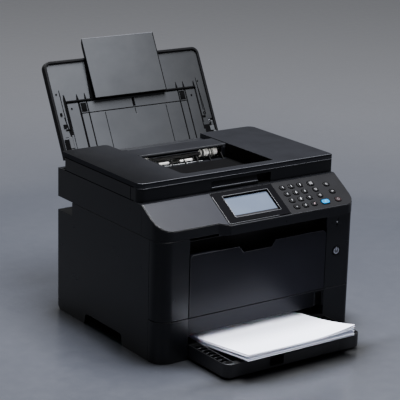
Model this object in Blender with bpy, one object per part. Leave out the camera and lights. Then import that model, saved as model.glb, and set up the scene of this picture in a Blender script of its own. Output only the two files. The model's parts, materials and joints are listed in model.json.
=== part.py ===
"""Laser fax machine with a document support, a sloping control panel and a paper cassette.

Every part is a separate closed solid. Units are metres, +Z is up, +X is to the right of a person
who faces the machine, and +Y runs from the front to the back. Inside this script Y is counted from
the front face; one empty at the end moves the whole machine so that its footprint is centred.
"""
import math

import bmesh
import bpy
from mathutils import Vector

# Case
HALF_WIDTH = 0.195
DEPTH = 0.3147
WALL = 0.0025
GAP = 0.0003
LEFT_RADIUS = 0.0255
RIGHT_RADIUS = 0.0095
COLUMN_DEPTH = 0.0302
BAY_HALF = 0.1387
SKIRT_TOP = 0.0702
COLUMN_BASE = 0.0713
BODY_TOP = 0.2027
COVER_THICK = 0.012
NOTCH_FRONT = 0.268
NOTCH_BASE = 0.180

# Scanner unit and control panel
SCANNER_FRONT = 0.0548
SCANNER_BASE = 0.2033
SCANNER_TOP = 0.2532
PANEL_RISE = 0.219
PANEL_SLOPE = math.radians(31.96)
PANEL_OVERHANG = 0.0078

# Lid
LID_FRONT = 0.0614
LID_BACK = 0.2925
LID_BASE = 0.2538
LID_SPLIT = 0.2761
LID_TOP = 0.2845
LID_LEFT_RADIUS = 0.0125
LID_RIGHT_RADIUS = 0.0020
LID_AXIS = (0.320, 0.2625)
WELL_X = (-0.100, 0.082)
WELL_Y = (0.079, 0.215)
WELL_FLOOR = 0.2585

# Document support: a plane that leans back, with its own x, up and outward coordinates
SUPPORT_FOOT = (0.3493, 0.2678)
SUPPORT_LEAN = math.radians(27.3)
SUPPORT_SPAN = (-0.1636, 0.1612)
SUPPORT_LOW = -0.0135
BELOW = SUPPORT_LOW - 0.015
SUPPORT_HIGH = 0.161
SUPPORT_THICK = 0.008
DECK_TOP = 0.084
SUPPORT_PIVOT = (0.018, -0.004)
ARM_SPANS = ((-0.1475, -0.1400), (0.1525, 0.1600))
LUG_SPANS = ((-0.1625, -0.1480), (0.1375, 0.1520))

# Front door and cassette
DOOR_HALF = 0.1377
DOOR_LOW = 0.0716
DOOR_HIGH = 0.175
DOOR_DEPTH = 0.012
DOOR_AXIS = (0.003, 0.0786)
CASSETTE_HALF = 0.1365
CASSETTE_FRONT = -0.103
CASSETTE_BACK = 0.197
CASSETTE_FLOOR = 0.0035
CASSETTE_TOP = 0.0255
PAPER_HALF = 0.108
PAPER_FRONT = -0.120
PAPER_LENGTH = 0.279
PAPER_THICK = 0.0098

# Small controls
KEY_RAISE = 0.0022
KEY_DEEP = 0.0012
PLATE_RAISE = 0.0009
KEY_CLEARANCE = 0.0006
POWER_BUTTON = (0.1616, 0.134)
POWER_RADIUS = 0.0088

BLACK = ("black_plastic", (0.012, 0.013, 0.015), 0.45, 0.0)
CHARCOAL = ("charcoal_plastic", (0.035, 0.037, 0.041), 0.5, 0.0)
GREY = ("grey_plastic", (0.16, 0.165, 0.175), 0.45, 0.0)
STEEL = ("sheet_steel", (0.55, 0.56, 0.58), 0.35, 1.0)
RUBBER = ("roller_rubber", (0.10, 0.10, 0.10), 0.8, 0.0)
GLASS = ("scanner_glass", (0.25, 0.32, 0.33), 0.05, 0.0)
SCREEN = ("screen_glass", (0.45, 0.52, 0.65), 0.15, 0.0)
PAPER = ("paper", (0.9, 0.9, 0.93), 0.8, 0.0)
BOARD = ("circuit_board", (0.02, 0.16, 0.08), 0.5, 0.0)
PAD = ("white_foam", (0.85, 0.85, 0.85), 0.9, 0.0)
BLUE = ("start_key_blue", (0.03, 0.35, 0.85), 0.35, 0.0)
RED = ("stop_key_red", (0.12, 0.03, 0.03), 0.4, 0.0)


def clear_scene():
    for thing in list(bpy.data.objects):
        bpy.data.objects.remove(thing, do_unlink=True)


def new_collection(name):
    group = bpy.data.collections.new(name)
    bpy.context.scene.collection.children.link(group)
    return group


clear_scene()
PARTS = new_collection("fax_machine")
CUTTERS = new_collection("cutters")


def new_empty(name, location, tilt=0.0, parent=None):
    empty = bpy.data.objects.new(name, None)
    empty.location = location
    empty.rotation_euler.x = tilt
    empty.parent = parent
    PARTS.objects.link(empty)
    return empty


MACHINE = new_empty("machine_frame", (0, 0, 0))
PANEL = new_empty("panel_frame", (0, 0, PANEL_RISE), PANEL_SLOPE, MACHINE)
SUPPORT = new_empty("support_frame", (0, *SUPPORT_FOOT), math.pi / 2 - SUPPORT_LEAN, MACHINE)


def place(name, mesh, finish, frame):
    """Link a mesh as a part with a finish, or as a hidden cutter when finish is None."""
    thing = bpy.data.objects.new(name, mesh)
    thing.parent = frame or MACHINE
    if finish is None:
        thing.hide_render = True
        thing.display_type = "WIRE"
        CUTTERS.objects.link(thing)
        return thing
    PARTS.objects.link(thing)
    mesh.materials.clear()
    mesh.materials.append(material(*finish))
    return thing


def material(name, colour, roughness, metallic):
    found = bpy.data.materials.get(name)
    if found:
        return found
    made = bpy.data.materials.new(name)
    made.use_nodes = True
    shader = made.node_tree.nodes["Principled BSDF"]
    shader.inputs["Base Color"].default_value = (*colour, 1)
    shader.inputs["Roughness"].default_value = roughness
    shader.inputs["Metallic"].default_value = metallic
    return made


def box(name, x, y, z, finish=None, frame=None):
    """Block between two limits on each axis; its origin is its centre."""
    mesh = bpy.data.meshes.new(name)
    shape = bmesh.new()
    bmesh.ops.create_cube(shape, size=1)
    size = [limits[1] - limits[0] for limits in (x, y, z)]
    bmesh.ops.scale(shape, vec=size, verts=shape.verts)
    shape.to_mesh(mesh)
    shape.free()
    thing = place(name, mesh, finish, frame)
    thing.location = [sum(limits) / 2 for limits in (x, y, z)]
    return thing


def disc(name, centre, radius, length, axis, finish=None, frame=None, sides=20):
    """Cylinder about an axis letter, centred on centre."""
    mesh = bpy.data.meshes.new(name)
    shape = bmesh.new()
    bmesh.ops.create_cone(shape, cap_ends=True, segments=sides, radius1=radius, radius2=radius,
                          depth=length)
    shape.to_mesh(mesh)
    shape.free()
    mesh.shade_smooth()
    mesh.set_sharp_from_angle(angle=math.radians(40))
    thing = place(name, mesh, finish, frame)
    thing.location = centre
    if axis == "X":
        thing.rotation_euler.y = math.pi / 2
    if axis == "Y":
        thing.rotation_euler.x = math.pi / 2
    return thing


def prism(name, outlines, span, axis="Z", finish=None, frame=None):
    """Flat outline extruded along an axis; further outlines inside the first are holes.

    An outline's points are (x, y) for axis Z, (y, z) for axis X and (x, z) for axis Y.
    """
    if not isinstance(outlines[0][0], (list, tuple)):
        outlines = [outlines]
    curve = bpy.data.curves.new(name, "CURVE")
    curve.dimensions = "2D"
    curve.fill_mode = "BOTH"
    curve.extrude = abs(span[1] - span[0]) / 2
    curve.render_resolution_u = 0
    for outline in outlines:
        spline = curve.splines.new("POLY")
        spline.points.add(len(outline) - 1)
        spline.use_cyclic_u = True
        for point, (u, v) in zip(spline.points, outline):
            point.co = (u, v, 0, 1)
    drawn = bpy.data.objects.new(name, curve)
    CUTTERS.objects.link(drawn)
    bpy.context.view_layer.update()
    seen = drawn.evaluated_get(bpy.context.evaluated_depsgraph_get())
    mesh = bpy.data.meshes.new_from_object(seen)
    bpy.data.objects.remove(drawn)
    shape = bmesh.new()
    shape.from_mesh(mesh)
    bmesh.ops.remove_doubles(shape, verts=shape.verts, dist=1e-6)
    bmesh.ops.recalc_face_normals(shape, faces=shape.faces)
    shape.to_mesh(mesh)
    shape.free()
    mesh.shade_smooth()
    mesh.set_sharp_from_angle(angle=math.radians(30))
    thing = place(name, mesh, finish, frame)
    middle = sum(span) / 2
    if axis == "X":
        thing.rotation_euler = (math.pi / 2, 0, math.pi / 2)
        thing.location.x = middle
    elif axis == "Y":
        thing.rotation_euler = (math.pi / 2, 0, 0)
        thing.location.y = middle
    else:
        thing.location.z = middle
    return thing


def combine(target, others, operation):
    for other in others:
        step = target.modifiers.new(other.name, "BOOLEAN")
        step.operation = operation
        step.solver = "EXACT"
        step.object = other
    return target


def cut(target, *cutters):
    return combine(target, cutters, "DIFFERENCE")


def join(target, *additions):
    return combine(target, additions, "UNION")


def rounded(corners, steps=4):
    """Closed outline through corners (u, v, radius), each replaced by an arc."""
    points = []
    for index, (u, v, radius) in enumerate(corners):
        if not radius:
            points.append((u, v))
            continue
        corner = Vector((u, v))
        back = (Vector(corners[index - 1][:2]) - corner).normalized()
        ahead = (Vector(corners[(index + 1) % len(corners)][:2]) - corner).normalized()
        half = back.angle(ahead) / 2
        centre = corner + (back + ahead).normalized() * radius / math.sin(half)
        start = corner + back * radius / math.tan(half) - centre
        turn = math.pi - 2 * half
        if back.x * ahead.y - back.y * ahead.x > 0:
            turn = -turn
        for step in range(steps + 1):
            angle = turn * step / steps
            arm = Vector((start.x * math.cos(angle) - start.y * math.sin(angle),
                          start.x * math.sin(angle) + start.y * math.cos(angle)))
            points.append(tuple(centre + arm))
    return points


def rectangle(u, v, radius=0.0, steps=4):
    return rounded([(u[0], v[0], radius), (u[1], v[0], radius),
                    (u[1], v[1], radius), (u[0], v[1], radius)], steps)


def inset(points, distance):
    """Closed outline moved inwards by a distance, with mitred corners."""
    count = len(points)
    area = sum(points[i - 1][0] * points[i][1] - points[i][0] * points[i - 1][1]
               for i in range(count))
    side = math.copysign(distance, area)
    moved = []
    for i in range(count):
        here = Vector(points[i])
        before = (here - Vector(points[i - 1])).normalized()
        after = (Vector(points[(i + 1) % count]) - here).normalized()
        first = Vector((-before.y, before.x))
        second = Vector((-after.y, after.x))
        moved.append(tuple(here + (first + second) * side / (1 + first.dot(second))))
    return moved


def mirrored(points, side):
    """Outline for the right side, or its mirror image for the left."""
    return [(u * side, v) for u, v in points]


def hang(pivot_name, location, pieces, parent=None):
    """Give pieces a joint empty on their axis, and leave them where they are."""
    pivot = new_empty(pivot_name, location, 0.0, parent or MACHINE)
    bpy.context.view_layer.update()
    for piece in pieces:
        world = piece.matrix_world.copy()
        piece.parent = pivot
        piece.matrix_world = world
    return pivot


def side_cover(name, side):
    """Side tray with a hand arch below and a step at the upper back corner."""
    outline = [(COLUMN_DEPTH + 0.0006, 0), (0.107, 0), (0.110, 0.016), (0.114, 0.019),
               (0.219, 0.019), (0.223, 0.016), (0.226, 0), (0.309, 0), (DEPTH, 0.006),
               (DEPTH, NOTCH_BASE), (NOTCH_FRONT, NOTCH_BASE), (NOTCH_FRONT, BODY_TOP),
               (COLUMN_DEPTH + 0.0006, BODY_TOP)]
    outer = HALF_WIDTH * side
    inner = (HALF_WIDTH - COVER_THICK) * side
    skin = (HALF_WIDTH - WALL) * side
    tray = prism(name, outline, (outer, inner), "X", BLACK)
    hollow = prism(name + "_hollow", inset(outline, WALL), (skin, inner - 0.002 * side), "X")
    return cut(tray, hollow)


def rear_cover():
    """Back wall with the step ledge, a vent and openings for the sockets."""
    lip = NOTCH_FRONT + 0.0005
    profile = [(DEPTH, 0.0023), (DEPTH, NOTCH_BASE), (lip, NOTCH_BASE), (lip, BODY_TOP),
               (lip - WALL, BODY_TOP), (lip - WALL, NOTCH_BASE - WALL),
               (DEPTH - WALL, NOTCH_BASE - WALL), (DEPTH - WALL, 0.0023)]
    reach = HALF_WIDTH - COVER_THICK - GAP
    cover = prism("rear_cover", profile, (-reach, reach), "X", BLACK)
    through = (DEPTH - 0.006, DEPTH + 0.003)
    cut(cover, box("inlet_opening", (-0.1730, -0.1430), through, (0.0290, 0.0510)))
    cut(cover, box("socket_opening", (0.1430, 0.1770), through, (0.0390, 0.0570)))
    for number in range(6):
        low = 0.112 + number * 0.007
        cut(cover, box("vent_%d" % number, (-0.179, -0.150), through, (low, low + 0.003)))
    return cover


def wall_outline(side):
    """Plan of a front corner wall: inner return, front face, rounded corner."""
    path = [(BAY_HALF, DOOR_DEPTH), (BAY_HALF, 0)]
    corner = RIGHT_RADIUS if side > 0 else LEFT_RADIUS
    centre = (HALF_WIDTH - corner, corner)
    for step in range(9):
        angle = math.pi / 2 * step / 8
        path.append((centre[0] + corner * math.sin(angle),
                     centre[1] - corner * math.cos(angle)))
    path.append((HALF_WIDTH, COLUMN_DEPTH))
    inner = [(HALF_WIDTH - WALL, COLUMN_DEPTH)]
    radius = corner - WALL
    for step in range(9):
        angle = math.pi / 2 * (1 - step / 8)
        inner.append((centre[0] + radius * math.sin(angle), centre[1] - radius * math.cos(angle)))
    inner += [(BAY_HALF + WALL, WALL), (BAY_HALF + WALL, DOOR_DEPTH)]
    return mirrored(path + inner, side)


def front_corners():
    prism("left_front_column", wall_outline(-1), (COLUMN_BASE, BODY_TOP), "Z", BLACK)
    right = prism("right_front_column", wall_outline(1), (COLUMN_BASE, BODY_TOP), "Z", BLACK)
    prism("left_front_skirt", wall_outline(-1), (0, SKIRT_TOP), "Z", BLACK)
    prism("right_front_skirt", wall_outline(1), (0, SKIRT_TOP), "Z", BLACK)
    cut(right, disc("button_hole", (POWER_BUTTON[0], 0.002, POWER_BUTTON[1]),
                    POWER_RADIUS + 0.0004, 0.012, "Y"))
    cut(right, box("port_hole", (0.1582, 0.1638), (-0.004, 0.006), (0.1785, 0.1915)))


def lower_fascia():
    """Fixed strip between the door and the cassette, with an open pocket at its right end."""
    strip = box("lower_fascia", (-0.1383, 0.1383), (0, DOOR_DEPTH), (0.042, SKIRT_TOP), BLACK)
    cut(strip, box("fascia_hollow", (-0.1358, 0.1150), (WALL, 0.02), (0.0445, 0.0677)))
    pocket = rectangle((0.1180, 0.1340), (0.0300, 0.0670))
    return cut(strip, prism("fascia_pocket", pocket, (-0.002, 0.0095), "Y"))


def bay_liner():
    """Dark back wall and ceiling of the hand recess above the door."""
    profile = [(0.0165, 0.164), (0.0300, 0.164), (0.0300, 0.166), (0.0185, 0.166),
               (0.0185, 0.1990), (0.0030, 0.1990), (0.0030, 0.1972), (0.0165, 0.1972)]
    return prism("bay_liner", profile, (-0.1383, 0.1383), "X", CHARCOAL)


def inner_frame():
    """Folded steel bridge over the cassette, standing on the base plate."""
    outer = [(-0.1500, 0.0023), (-0.1405, 0.0023), (-0.1405, 0.1625), (0.1405, 0.1625),
             (0.1405, 0.0023), (0.1500, 0.0023), (0.1500, 0.0038), (0.1420, 0.0038),
             (0.1420, 0.1640), (-0.1420, 0.1640), (-0.1420, 0.0038), (-0.1500, 0.0038)]
    bridge = prism("inner_frame", outer, (0.034, 0.290), "Y", STEEL)
    for number, depth in enumerate((0.100, 0.200)):
        cut(bridge, disc("lightening_%d" % number, (0, depth, 0.100), 0.020, 0.4, "X"))
    return bridge


def print_engine():
    """Laser scanner, toner cartridge and fuser inside the steel bridge."""
    laser = prism("laser_unit", rectangle((-0.120, 0.120), (0.060, 0.240), 0.008), (0.1643, 0.190),
                  "Z", CHARCOAL)
    join(laser, box("laser_boss", (-0.030, 0.030), (0.120, 0.180), (0.185, 0.196)))
    toner = rounded([(0.028, 0.092, 0.004), (0.070, 0.080, 0.010), (0.115, 0.078, 0.014),
                     (0.150, 0.095, 0.012), (0.146, 0.140, 0.010), (0.050, 0.152, 0.014),
                     (0.028, 0.128, 0.006)], 3)
    cartridge = prism("toner_cartridge", toner, (-0.120, 0.120), "X", CHARCOAL)
    cut(cartridge, box("toner_grip", (-0.040, 0.040), (0.020, 0.036), (0.104, 0.118)))
    fuser = rounded([(0.215, 0.085, 0.004), (0.262, 0.085, 0.004), (0.262, 0.135, 0.016),
                     (0.215, 0.135, 0.012)], 3)
    prism("fuser_unit", fuser, (-0.125, 0.125), "X", CHARCOAL)


def electronics():
    """Boards and sockets in the side compartments."""
    main = box("main_board", (0.1600, 0.1616), (0.060, 0.280), (0.030, 0.150), BOARD)
    for number, (depth, height, size) in enumerate(((0.100, 0.090, 0.014), (0.160, 0.110, 0.009),
                                                    (0.210, 0.070, 0.011))):
        join(main, box("chip_%d" % number, (0.1610, 0.1640), (depth - size, depth + size),
                       (height - size, height + size)))
    supply = box("power_supply", (-0.1680, -0.1660), (0.090, 0.270), (0.020, 0.110), BOARD)
    join(supply, box("heat_sink", (-0.1670, -0.1480), (0.120, 0.160), (0.040, 0.090)))
    join(supply, box("transformer", (-0.1670, -0.1460), (0.190, 0.230), (0.035, 0.080)))
    rear = (DEPTH - 0.020, DEPTH)
    inlet = box("ac_inlet", (-0.1725, -0.1435), rear, (0.0295, 0.0505), CHARCOAL)
    cavity = rounded([(-0.1700, 0.0320, 0.001), (-0.1460, 0.0320, 0.001),
                      (-0.1460, 0.0430, 0.001), (-0.1510, 0.0480, 0.001),
                      (-0.1650, 0.0480, 0.001), (-0.1700, 0.0430, 0.001)], 2)
    cut(inlet, prism("inlet_cavity", cavity, (DEPTH - 0.016, DEPTH + 0.002), "Y"))
    for number, shift in enumerate((-0.007, 0, 0.007)):
        lift = 0.003 if shift == 0 else 0
        join(inlet, box("inlet_pin_%d" % number, (-0.1590 + shift, -0.1570 + shift),
                        (DEPTH - 0.018, DEPTH - 0.007), (0.0370 + lift, 0.0420 + lift)))
    sockets = box("line_sockets", (0.1435, 0.1765), rear, (0.0395, 0.0565), CHARCOAL)
    for number, middle in enumerate((0.1517, 0.1683)):
        cut(sockets, box("socket_%d" % number, (middle - 0.0055, middle + 0.0055),
                         (DEPTH - 0.014, DEPTH + 0.002), (0.0430, 0.0530)))


def cooling_fan():
    """Small rotor behind the vent, turning about Y."""
    middle = (-0.1640, DEPTH - 0.013, 0.130)
    rotor = disc("cooling_fan", middle, 0.006, 0.010, "Y", CHARCOAL, sides=16)
    for number in range(5):
        blade = box("blade_%d" % number, (0.004, 0.0145), (-0.004, 0.004), (-0.0006, 0.0006))
        blade.rotation_mode = "YXZ"
        turn = 2 * math.pi * number / 5
        blade.location = (middle[0] + 0.00925 * math.cos(turn), middle[1],
                          middle[2] - 0.00925 * math.sin(turn))
        blade.rotation_euler = (math.radians(35), turn, 0)
        join(rotor, blade)
    return hang("fan_axis", middle, [rotor])


def scanner_housing():
    """Flatbed tub: cavity for the carriage, ledge for the glass, lugs for the lid."""
    plan = rounded([(-HALF_WIDTH, SCANNER_FRONT, 0), (HALF_WIDTH, SCANNER_FRONT, 0),
                    (HALF_WIDTH, DEPTH, 0.001), (-HALF_WIDTH, DEPTH, 0.001)])
    tub = prism("scanner_housing", plan, (SCANNER_BASE, SCANNER_TOP), "Z", BLACK)
    cut(tub, box("carriage_space", (-0.190, 0.190), (0.062, 0.307), (0.2060, 0.2440)))
    cut(tub, box("glass_window", (-0.165, 0.165), (0.080, 0.292), (0.2400, 0.2600)))
    cut(tub, box("glass_ledge", (-0.1725, 0.1725), (0.073, 0.299), (0.2460, 0.2600)))
    cut(tub, box("rim_recess", (-0.1905, 0.1905), (0.0620, 0.3080), (0.2490, 0.2600)))
    axis_y, axis_z = LID_AXIS
    lug = rounded([(0.3120, 0.2380, 0), (0.3200, 0.2380, 0), (axis_y + 0.0055, 0.2450, 0.003),
                   (axis_y + 0.0055, axis_z + 0.0055, 0.005),
                   (axis_y - 0.0052, axis_z + 0.0055, 0.005), (axis_y - 0.0052, 0.2540, 0),
                   (0.3120, 0.2530, 0)], 3)
    for number, (lug_span, arm_span) in enumerate(zip(LUG_SPANS, ARM_SPANS)):
        join(tub, prism("lid_lug_%d" % number, lug, lug_span, "X"))
        start = lug_span[1] - 0.003
        join(tub, disc("lid_pin_%d" % number, ((start + arm_span[1]) / 2, axis_y, axis_z), 0.002,
                       arm_span[1] - start, "X", sides=12))
    return tub


def scan_parts():
    box("scanner_glass", (-0.1722, 0.1722), (0.0733, 0.2987), (0.2463, 0.2487), GLASS)
    carriage = box("scan_carriage", (-0.152, -0.134), (0.076, 0.296), (0.2180, 0.2410), CHARCOAL)
    cut(carriage, box("lamp_groove", (-0.145, -0.141), (0.082, 0.290), (0.2360, 0.2500)))
    return carriage


def panel_plan():
    """Plan of the control panel: rounded corners and a small step forward on the right."""
    front = -PANEL_OVERHANG
    return rounded([(-HALF_WIDTH, 0.0543, 0), (-HALF_WIDTH, 0, LEFT_RADIUS + 0.0005),
                    (-0.0850, 0, 0.010), (-0.0640, front + 0.0006, 0.010),
                    (0.1930, front, 0.0190),
                    (HALF_WIDTH, 0.0250, 0.006), (HALF_WIDTH, 0.0543, 0)])


def slab_above(height, name):
    """Cutter: everything above the panel's slope plus a height."""
    return box(name, (-0.3, 0.3), (-0.2, 0.3), (height, height + 0.2), frame=PANEL)


def control_panel():
    """Hollow sloping cover with openings below the screen and the keypad."""
    plan = panel_plan()
    cover = prism("panel_cover", plan, (0.1995, 0.300), "Z", BLACK)
    cut(cover, slab_above(0, "panel_slope"))
    cut(cover, box("column_space", (-0.3, 0.3), (-0.0004, 0.2), (0.150, SCANNER_BASE)))
    hollow = prism("panel_hollow", inset(plan, WALL), (0.150, 0.290), "Z")
    cut(hollow, slab_above(-WALL, "panel_underside"))
    cut(cover, hollow)
    cut(cover, box("screen_opening", (-0.0495, 0.0455), (0.0045, 0.0550), (-0.02, 0.02),
                   frame=PANEL))
    cut(cover, box("keypad_opening", (0.0640, 0.1730), (-0.0005, 0.0560), (-0.02, 0.02),
                   frame=PANEL))
    return cover


def flattened(points):
    """Plan outline projected straight up onto the sloping panel."""
    return [(x, y / math.cos(PANEL_SLOPE)) for x, y in points]


def panel_plates():
    """Thin plates on the sloping panel: smooth left plate, screen bezel, keypad plate."""
    front = -PANEL_OVERHANG
    left = rounded([(-HALF_WIDTH + 0.001, 0.0538, 0), (-HALF_WIDTH + 0.001, 0.001, LEFT_RADIUS - 0.0005),
                    (-0.0850, 0.001, 0.010), (-0.0665, front + 0.0030, 0),
                    (-0.0665, 0.0538, 0)])
    prism("panel_left_plate", flattened(left), (GAP, PLATE_RAISE), "Z", GREY, PANEL)
    rim = rectangle((-0.0658, 0.0571), (-0.0052, 0.0625), 0.0015, 2)
    window = rectangle((-0.0480, 0.0441), (0.0058, 0.0534), 0.0015, 2)
    prism("screen_bezel", [rim, window], (GAP, 0.0015), "Z", BLACK, PANEL)
    box("touch_screen", (-0.0488, 0.0449), (0.0050, 0.0542), (-0.0048, -0.0030), SCREEN, PANEL)
    keypad = rounded([(0.0576, 0.0538, 0), (0.0576, front + 0.0010, 0),
                      (0.1930, front + 0.0010, 0.0182), (HALF_WIDTH - 0.001, 0.0250, 0.006),
                      (HALF_WIDTH - 0.001, 0.0538, 0)])
    holes = [key_outline(key, KEY_CLEARANCE) for key in key_list()]
    prism("keypad_plate", [flattened(keypad)] + holes, (GAP, PLATE_RAISE), "Z", CHARCOAL, PANEL)


def key_list():
    """Every key as (name, x, up-slope, width, height, finish)."""
    keys = []
    digits = ("1", "2", "3", "4", "5", "6", "7", "8", "9", "star", "0", "hash")
    for index, label in enumerate(digits):
        column = index % 3
        row = index // 3
        keys.append(("key_" + label, 0.0737 + 0.0182 * column + 0.0008 * row,
                     0.0494 - 0.01465 * row, 0.0118, 0.0086, BLACK))
    keys.append(("key_menu", 0.1325, 0.0489, 0.0130, 0.0104, BLACK))
    keys.append(("key_redial", 0.1340, 0.0343, 0.0108, 0.0084, BLACK))
    keys.append(("key_hold", 0.1346, 0.0205, 0.0108, 0.0084, BLACK))
    keys.append(("key_start", 0.1362, 0.0056, 0.0176, 0.0104, BLUE))
    keys.append(("key_copy", 0.1619, 0.0416, 0.0116, 0.0084, BLACK))
    keys.append(("key_clear", 0.1635, 0.0243, 0.0116, 0.0084, BLACK))
    keys.append(("key_stop", 0.1636, 0.0057, 0.0120, 0.0088, RED))
    return keys


def key_outline(key, margin):
    """Rounded key outline at its place, or centred on zero when margin is None."""
    _, x, up, width, height, _ = key
    if margin is None:
        x = up = margin = 0
    half_width = width / 2 + margin
    half_height = height / 2 + margin
    return rectangle((x - half_width, x + half_width), (up - half_height, up + half_height),
                     half_height * 0.93, 3)


def keys():
    """Keys that sink along the panel's normal; each key's origin is its centre."""
    for key in key_list():
        name, x, up = key[:3]
        made = prism(name, key_outline(key, None), (-KEY_DEEP, KEY_RAISE), "Z", key[5], PANEL)
        made.location.x = x
        made.location.y = up


def power_button():
    x, z = POWER_BUTTON
    button = disc("power_button", (x, 0.0045, z), POWER_RADIUS, 0.0102, "Y", BLACK, sides=28)
    return button


def front_door():
    """Hollow door with a finger notch in its top edge, hinged along its lower edge."""
    def face(notch_radius):
        dip = DOOR_HIGH - 0.011
        return rounded([(-DOOR_HALF, DOOR_LOW, 0), (DOOR_HALF, DOOR_LOW, 0),
                        (DOOR_HALF, DOOR_HIGH, 0.008), (0.0316, DOOR_HIGH, notch_radius),
                        (0.0237, dip, notch_radius), (-0.0335, dip, notch_radius),
                        (-0.0424, DOOR_HIGH, notch_radius), (-DOOR_HALF, DOOR_HIGH, 0.008)])
    door = prism("front_door", face(0.001), (0, DOOR_DEPTH), "Y", BLACK)
    cut(door, prism("door_hollow", inset(face(0), WALL), (WALL, DOOR_DEPTH + 0.002), "Y"))
    return hang("door_axis", (0, *DOOR_AXIS), [door])


def cassette():
    """Paper tray with thick ribbed sides and rounded front corners."""
    half = CASSETTE_HALF
    plan = rounded([(-half, CASSETTE_FRONT, 0.013), (half, CASSETTE_FRONT, 0.013),
                    (half, CASSETTE_BACK, 0.003), (-half, CASSETTE_BACK, 0.003)])
    tray = prism("cassette", plan, (CASSETTE_FLOOR, CASSETTE_TOP), "Z", BLACK)
    cut(tray, box("paper_space", (-0.1170, 0.1170), (-0.0915, 0.1900), (0.0058, 0.0500)))
    for side in (-1, 1):
        for number in range(7):
            low = -0.0870 + 0.0112 * number
            limits = sorted((0.1195 * side, 0.1345 * side))
            name = "rib_pocket_%d_%d" % (side, number)
            cut(tray, box(name, limits, (low, low + 0.0085), (0.0150, 0.0400)))
    cut(tray, box("front_grip", (-0.0450, -0.0265), (-0.1100, -0.0985), (0.0120, 0.0230)))
    join(tray, prism("front_pad", rectangle((-0.0262, 0.0860), (0.0120, 0.0250), 0.001, 2),
                     (CASSETTE_FRONT - 0.0015, CASSETTE_FRONT + 0.001), "Y"))
    cut(tray, box("front_relief", (0.0500, 0.0560), (-0.1100, -0.0985), (0.0000, 0.0100)))
    return tray


def paper_rise(y):
    """Height of the stack's underside: flat at the back, leaning on the front wall."""
    flat = 0.0062
    start = 0.104
    slope = 0.1185
    ease = 0.030
    ahead = start - y
    if ahead < -ease:
        return flat
    if ahead < ease:
        return flat + slope * (ahead + ease) ** 2 / (4 * ease)
    return flat + slope * ahead


def paper_stack():
    stations = [PAPER_FRONT + PAPER_LENGTH * step / 12 for step in range(13)]
    low = [(y, paper_rise(y)) for y in stations]
    high = [(y, z + PAPER_THICK) for y, z in reversed(low)]
    return prism("paper_stack", low + high, (-PAPER_HALF, PAPER_HALF), "X", PAPER)


def cassette_guides():
    """Side guides that stand against the paper."""
    guides = []
    for name, side in (("cassette_guide_left", -1), ("cassette_guide_right", 1)):
        profile = [(0.1090, 0.0062), (0.1112, 0.0062), (0.1112, 0.0240), (0.1090, 0.0240)]
        guides.append(prism(name, mirrored(profile, side), (0.060, 0.125), "Y", CHARCOAL))
    return guides


def shaft_roller(name, centre, shaft_radius, reach, sleeves, finish):
    """Shaft along X with thicker sleeves given as (x low, x high, radius)."""
    middle = sum(reach) / 2
    shaft = disc(name, (middle, *centre), shaft_radius, reach[1] - reach[0], "X", finish, sides=12)
    for number, (low, high, radius) in enumerate(sleeves):
        sleeve = disc("%s_sleeve_%d" % (name, number), ((low + high) / 2, *centre), radius,
                      high - low, "X", sides=20)
        join(shaft, sleeve)
    return hang(name + "_axis", (0, *centre), [shaft])


def lid_outline(back_left):
    """Plan of the lid; back_left is how far its rear left edge reaches."""
    return rounded([(-HALF_WIDTH, LID_FRONT, LID_LEFT_RADIUS),
                    (HALF_WIDTH, LID_FRONT, LID_RIGHT_RADIUS),
                    (HALF_WIDTH, LID_BACK, 0.012), (-HALF_WIDTH, back_left, 0.003)])


def well_cutter(name, low):
    plan = rounded([(WELL_X[0], WELL_Y[0], 0.011), (WELL_X[1], WELL_Y[0], 0.003),
                    (WELL_X[1], WELL_Y[1], 0), (WELL_X[0], WELL_Y[1], 0)])
    return prism(name, plan, (low, 0.320), "Z")


def lid_base():
    """Lid body: document well, roller bay, hollow sides and a finger grip in front."""
    body = prism("lid_base", lid_outline(LID_BACK), (LID_BASE, LID_SPLIT), "Z", BLACK)
    under = (0.2400, 0.2735)
    cut(body, box("lid_hollow_left", (-0.1905, -0.1045), (0.0675, 0.2885), under))
    cut(body, box("lid_hollow_right", (0.0865, 0.1905), (0.0675, 0.2865), under))
    cut(body, box("lid_hollow_back", (-0.1050, 0.0870), (0.2175, 0.2870), under))
    cut(body, well_cutter("well_lower", WELL_FLOOR))
    cut(body, box("roller_window", (-0.0880, 0.0740), (0.2000, 0.2400), (0.2610, 0.2900)))
    ledge = [(0.0600, 0.2700), (0.0655, 0.2700), (0.0614, 0.2595), (0.0600, 0.2595)]
    cut(body, prism("grip_ledge", ledge, (-0.057, 0.0375), "X"))
    cut(body, box("grip_pocket", (0.0370, 0.0640), (0.0500, 0.0720), (0.2500, 0.2705)))
    return body


def lid_top_cover():
    """Top plate round the well, with a lower strip behind it and a hump at the left back."""
    back = 0.302
    outline = rounded([(-HALF_WIDTH, LID_FRONT, LID_LEFT_RADIUS),
                    (HALF_WIDTH, LID_FRONT, LID_RIGHT_RADIUS),
                       (HALF_WIDTH, LID_BACK, 0.012), (0.0820, LID_BACK, 0.001),
                       (0.0820, 0.2560, 0), (-0.1045, 0.2560, 0), (-0.1065, back, 0.007),
                       (-HALF_WIDTH, back, 0.004)])
    cover = prism("lid_top_cover", outline, (LID_SPLIT + GAP, LID_TOP), "Z", CHARCOAL)
    low = (0.2700, 0.2825)
    cut(cover, box("cover_hollow_left", (-0.1905, -0.1075), (0.0675, 0.2950), low))
    cut(cover, box("cover_hollow_right", (0.0865, 0.1905), (0.0675, 0.2865), low))
    cut(cover, box("roller_space", (-0.0900, 0.0760), (0.2000, 0.2400), (0.2700, 0.2795)))
    cut(cover, well_cutter("well_upper", 0.2700))
    cut(cover, box("rear_strip", (-0.0960, 0.0820), (0.2100, 0.2700), (0.2828, 0.3000)))
    return cover


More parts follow.
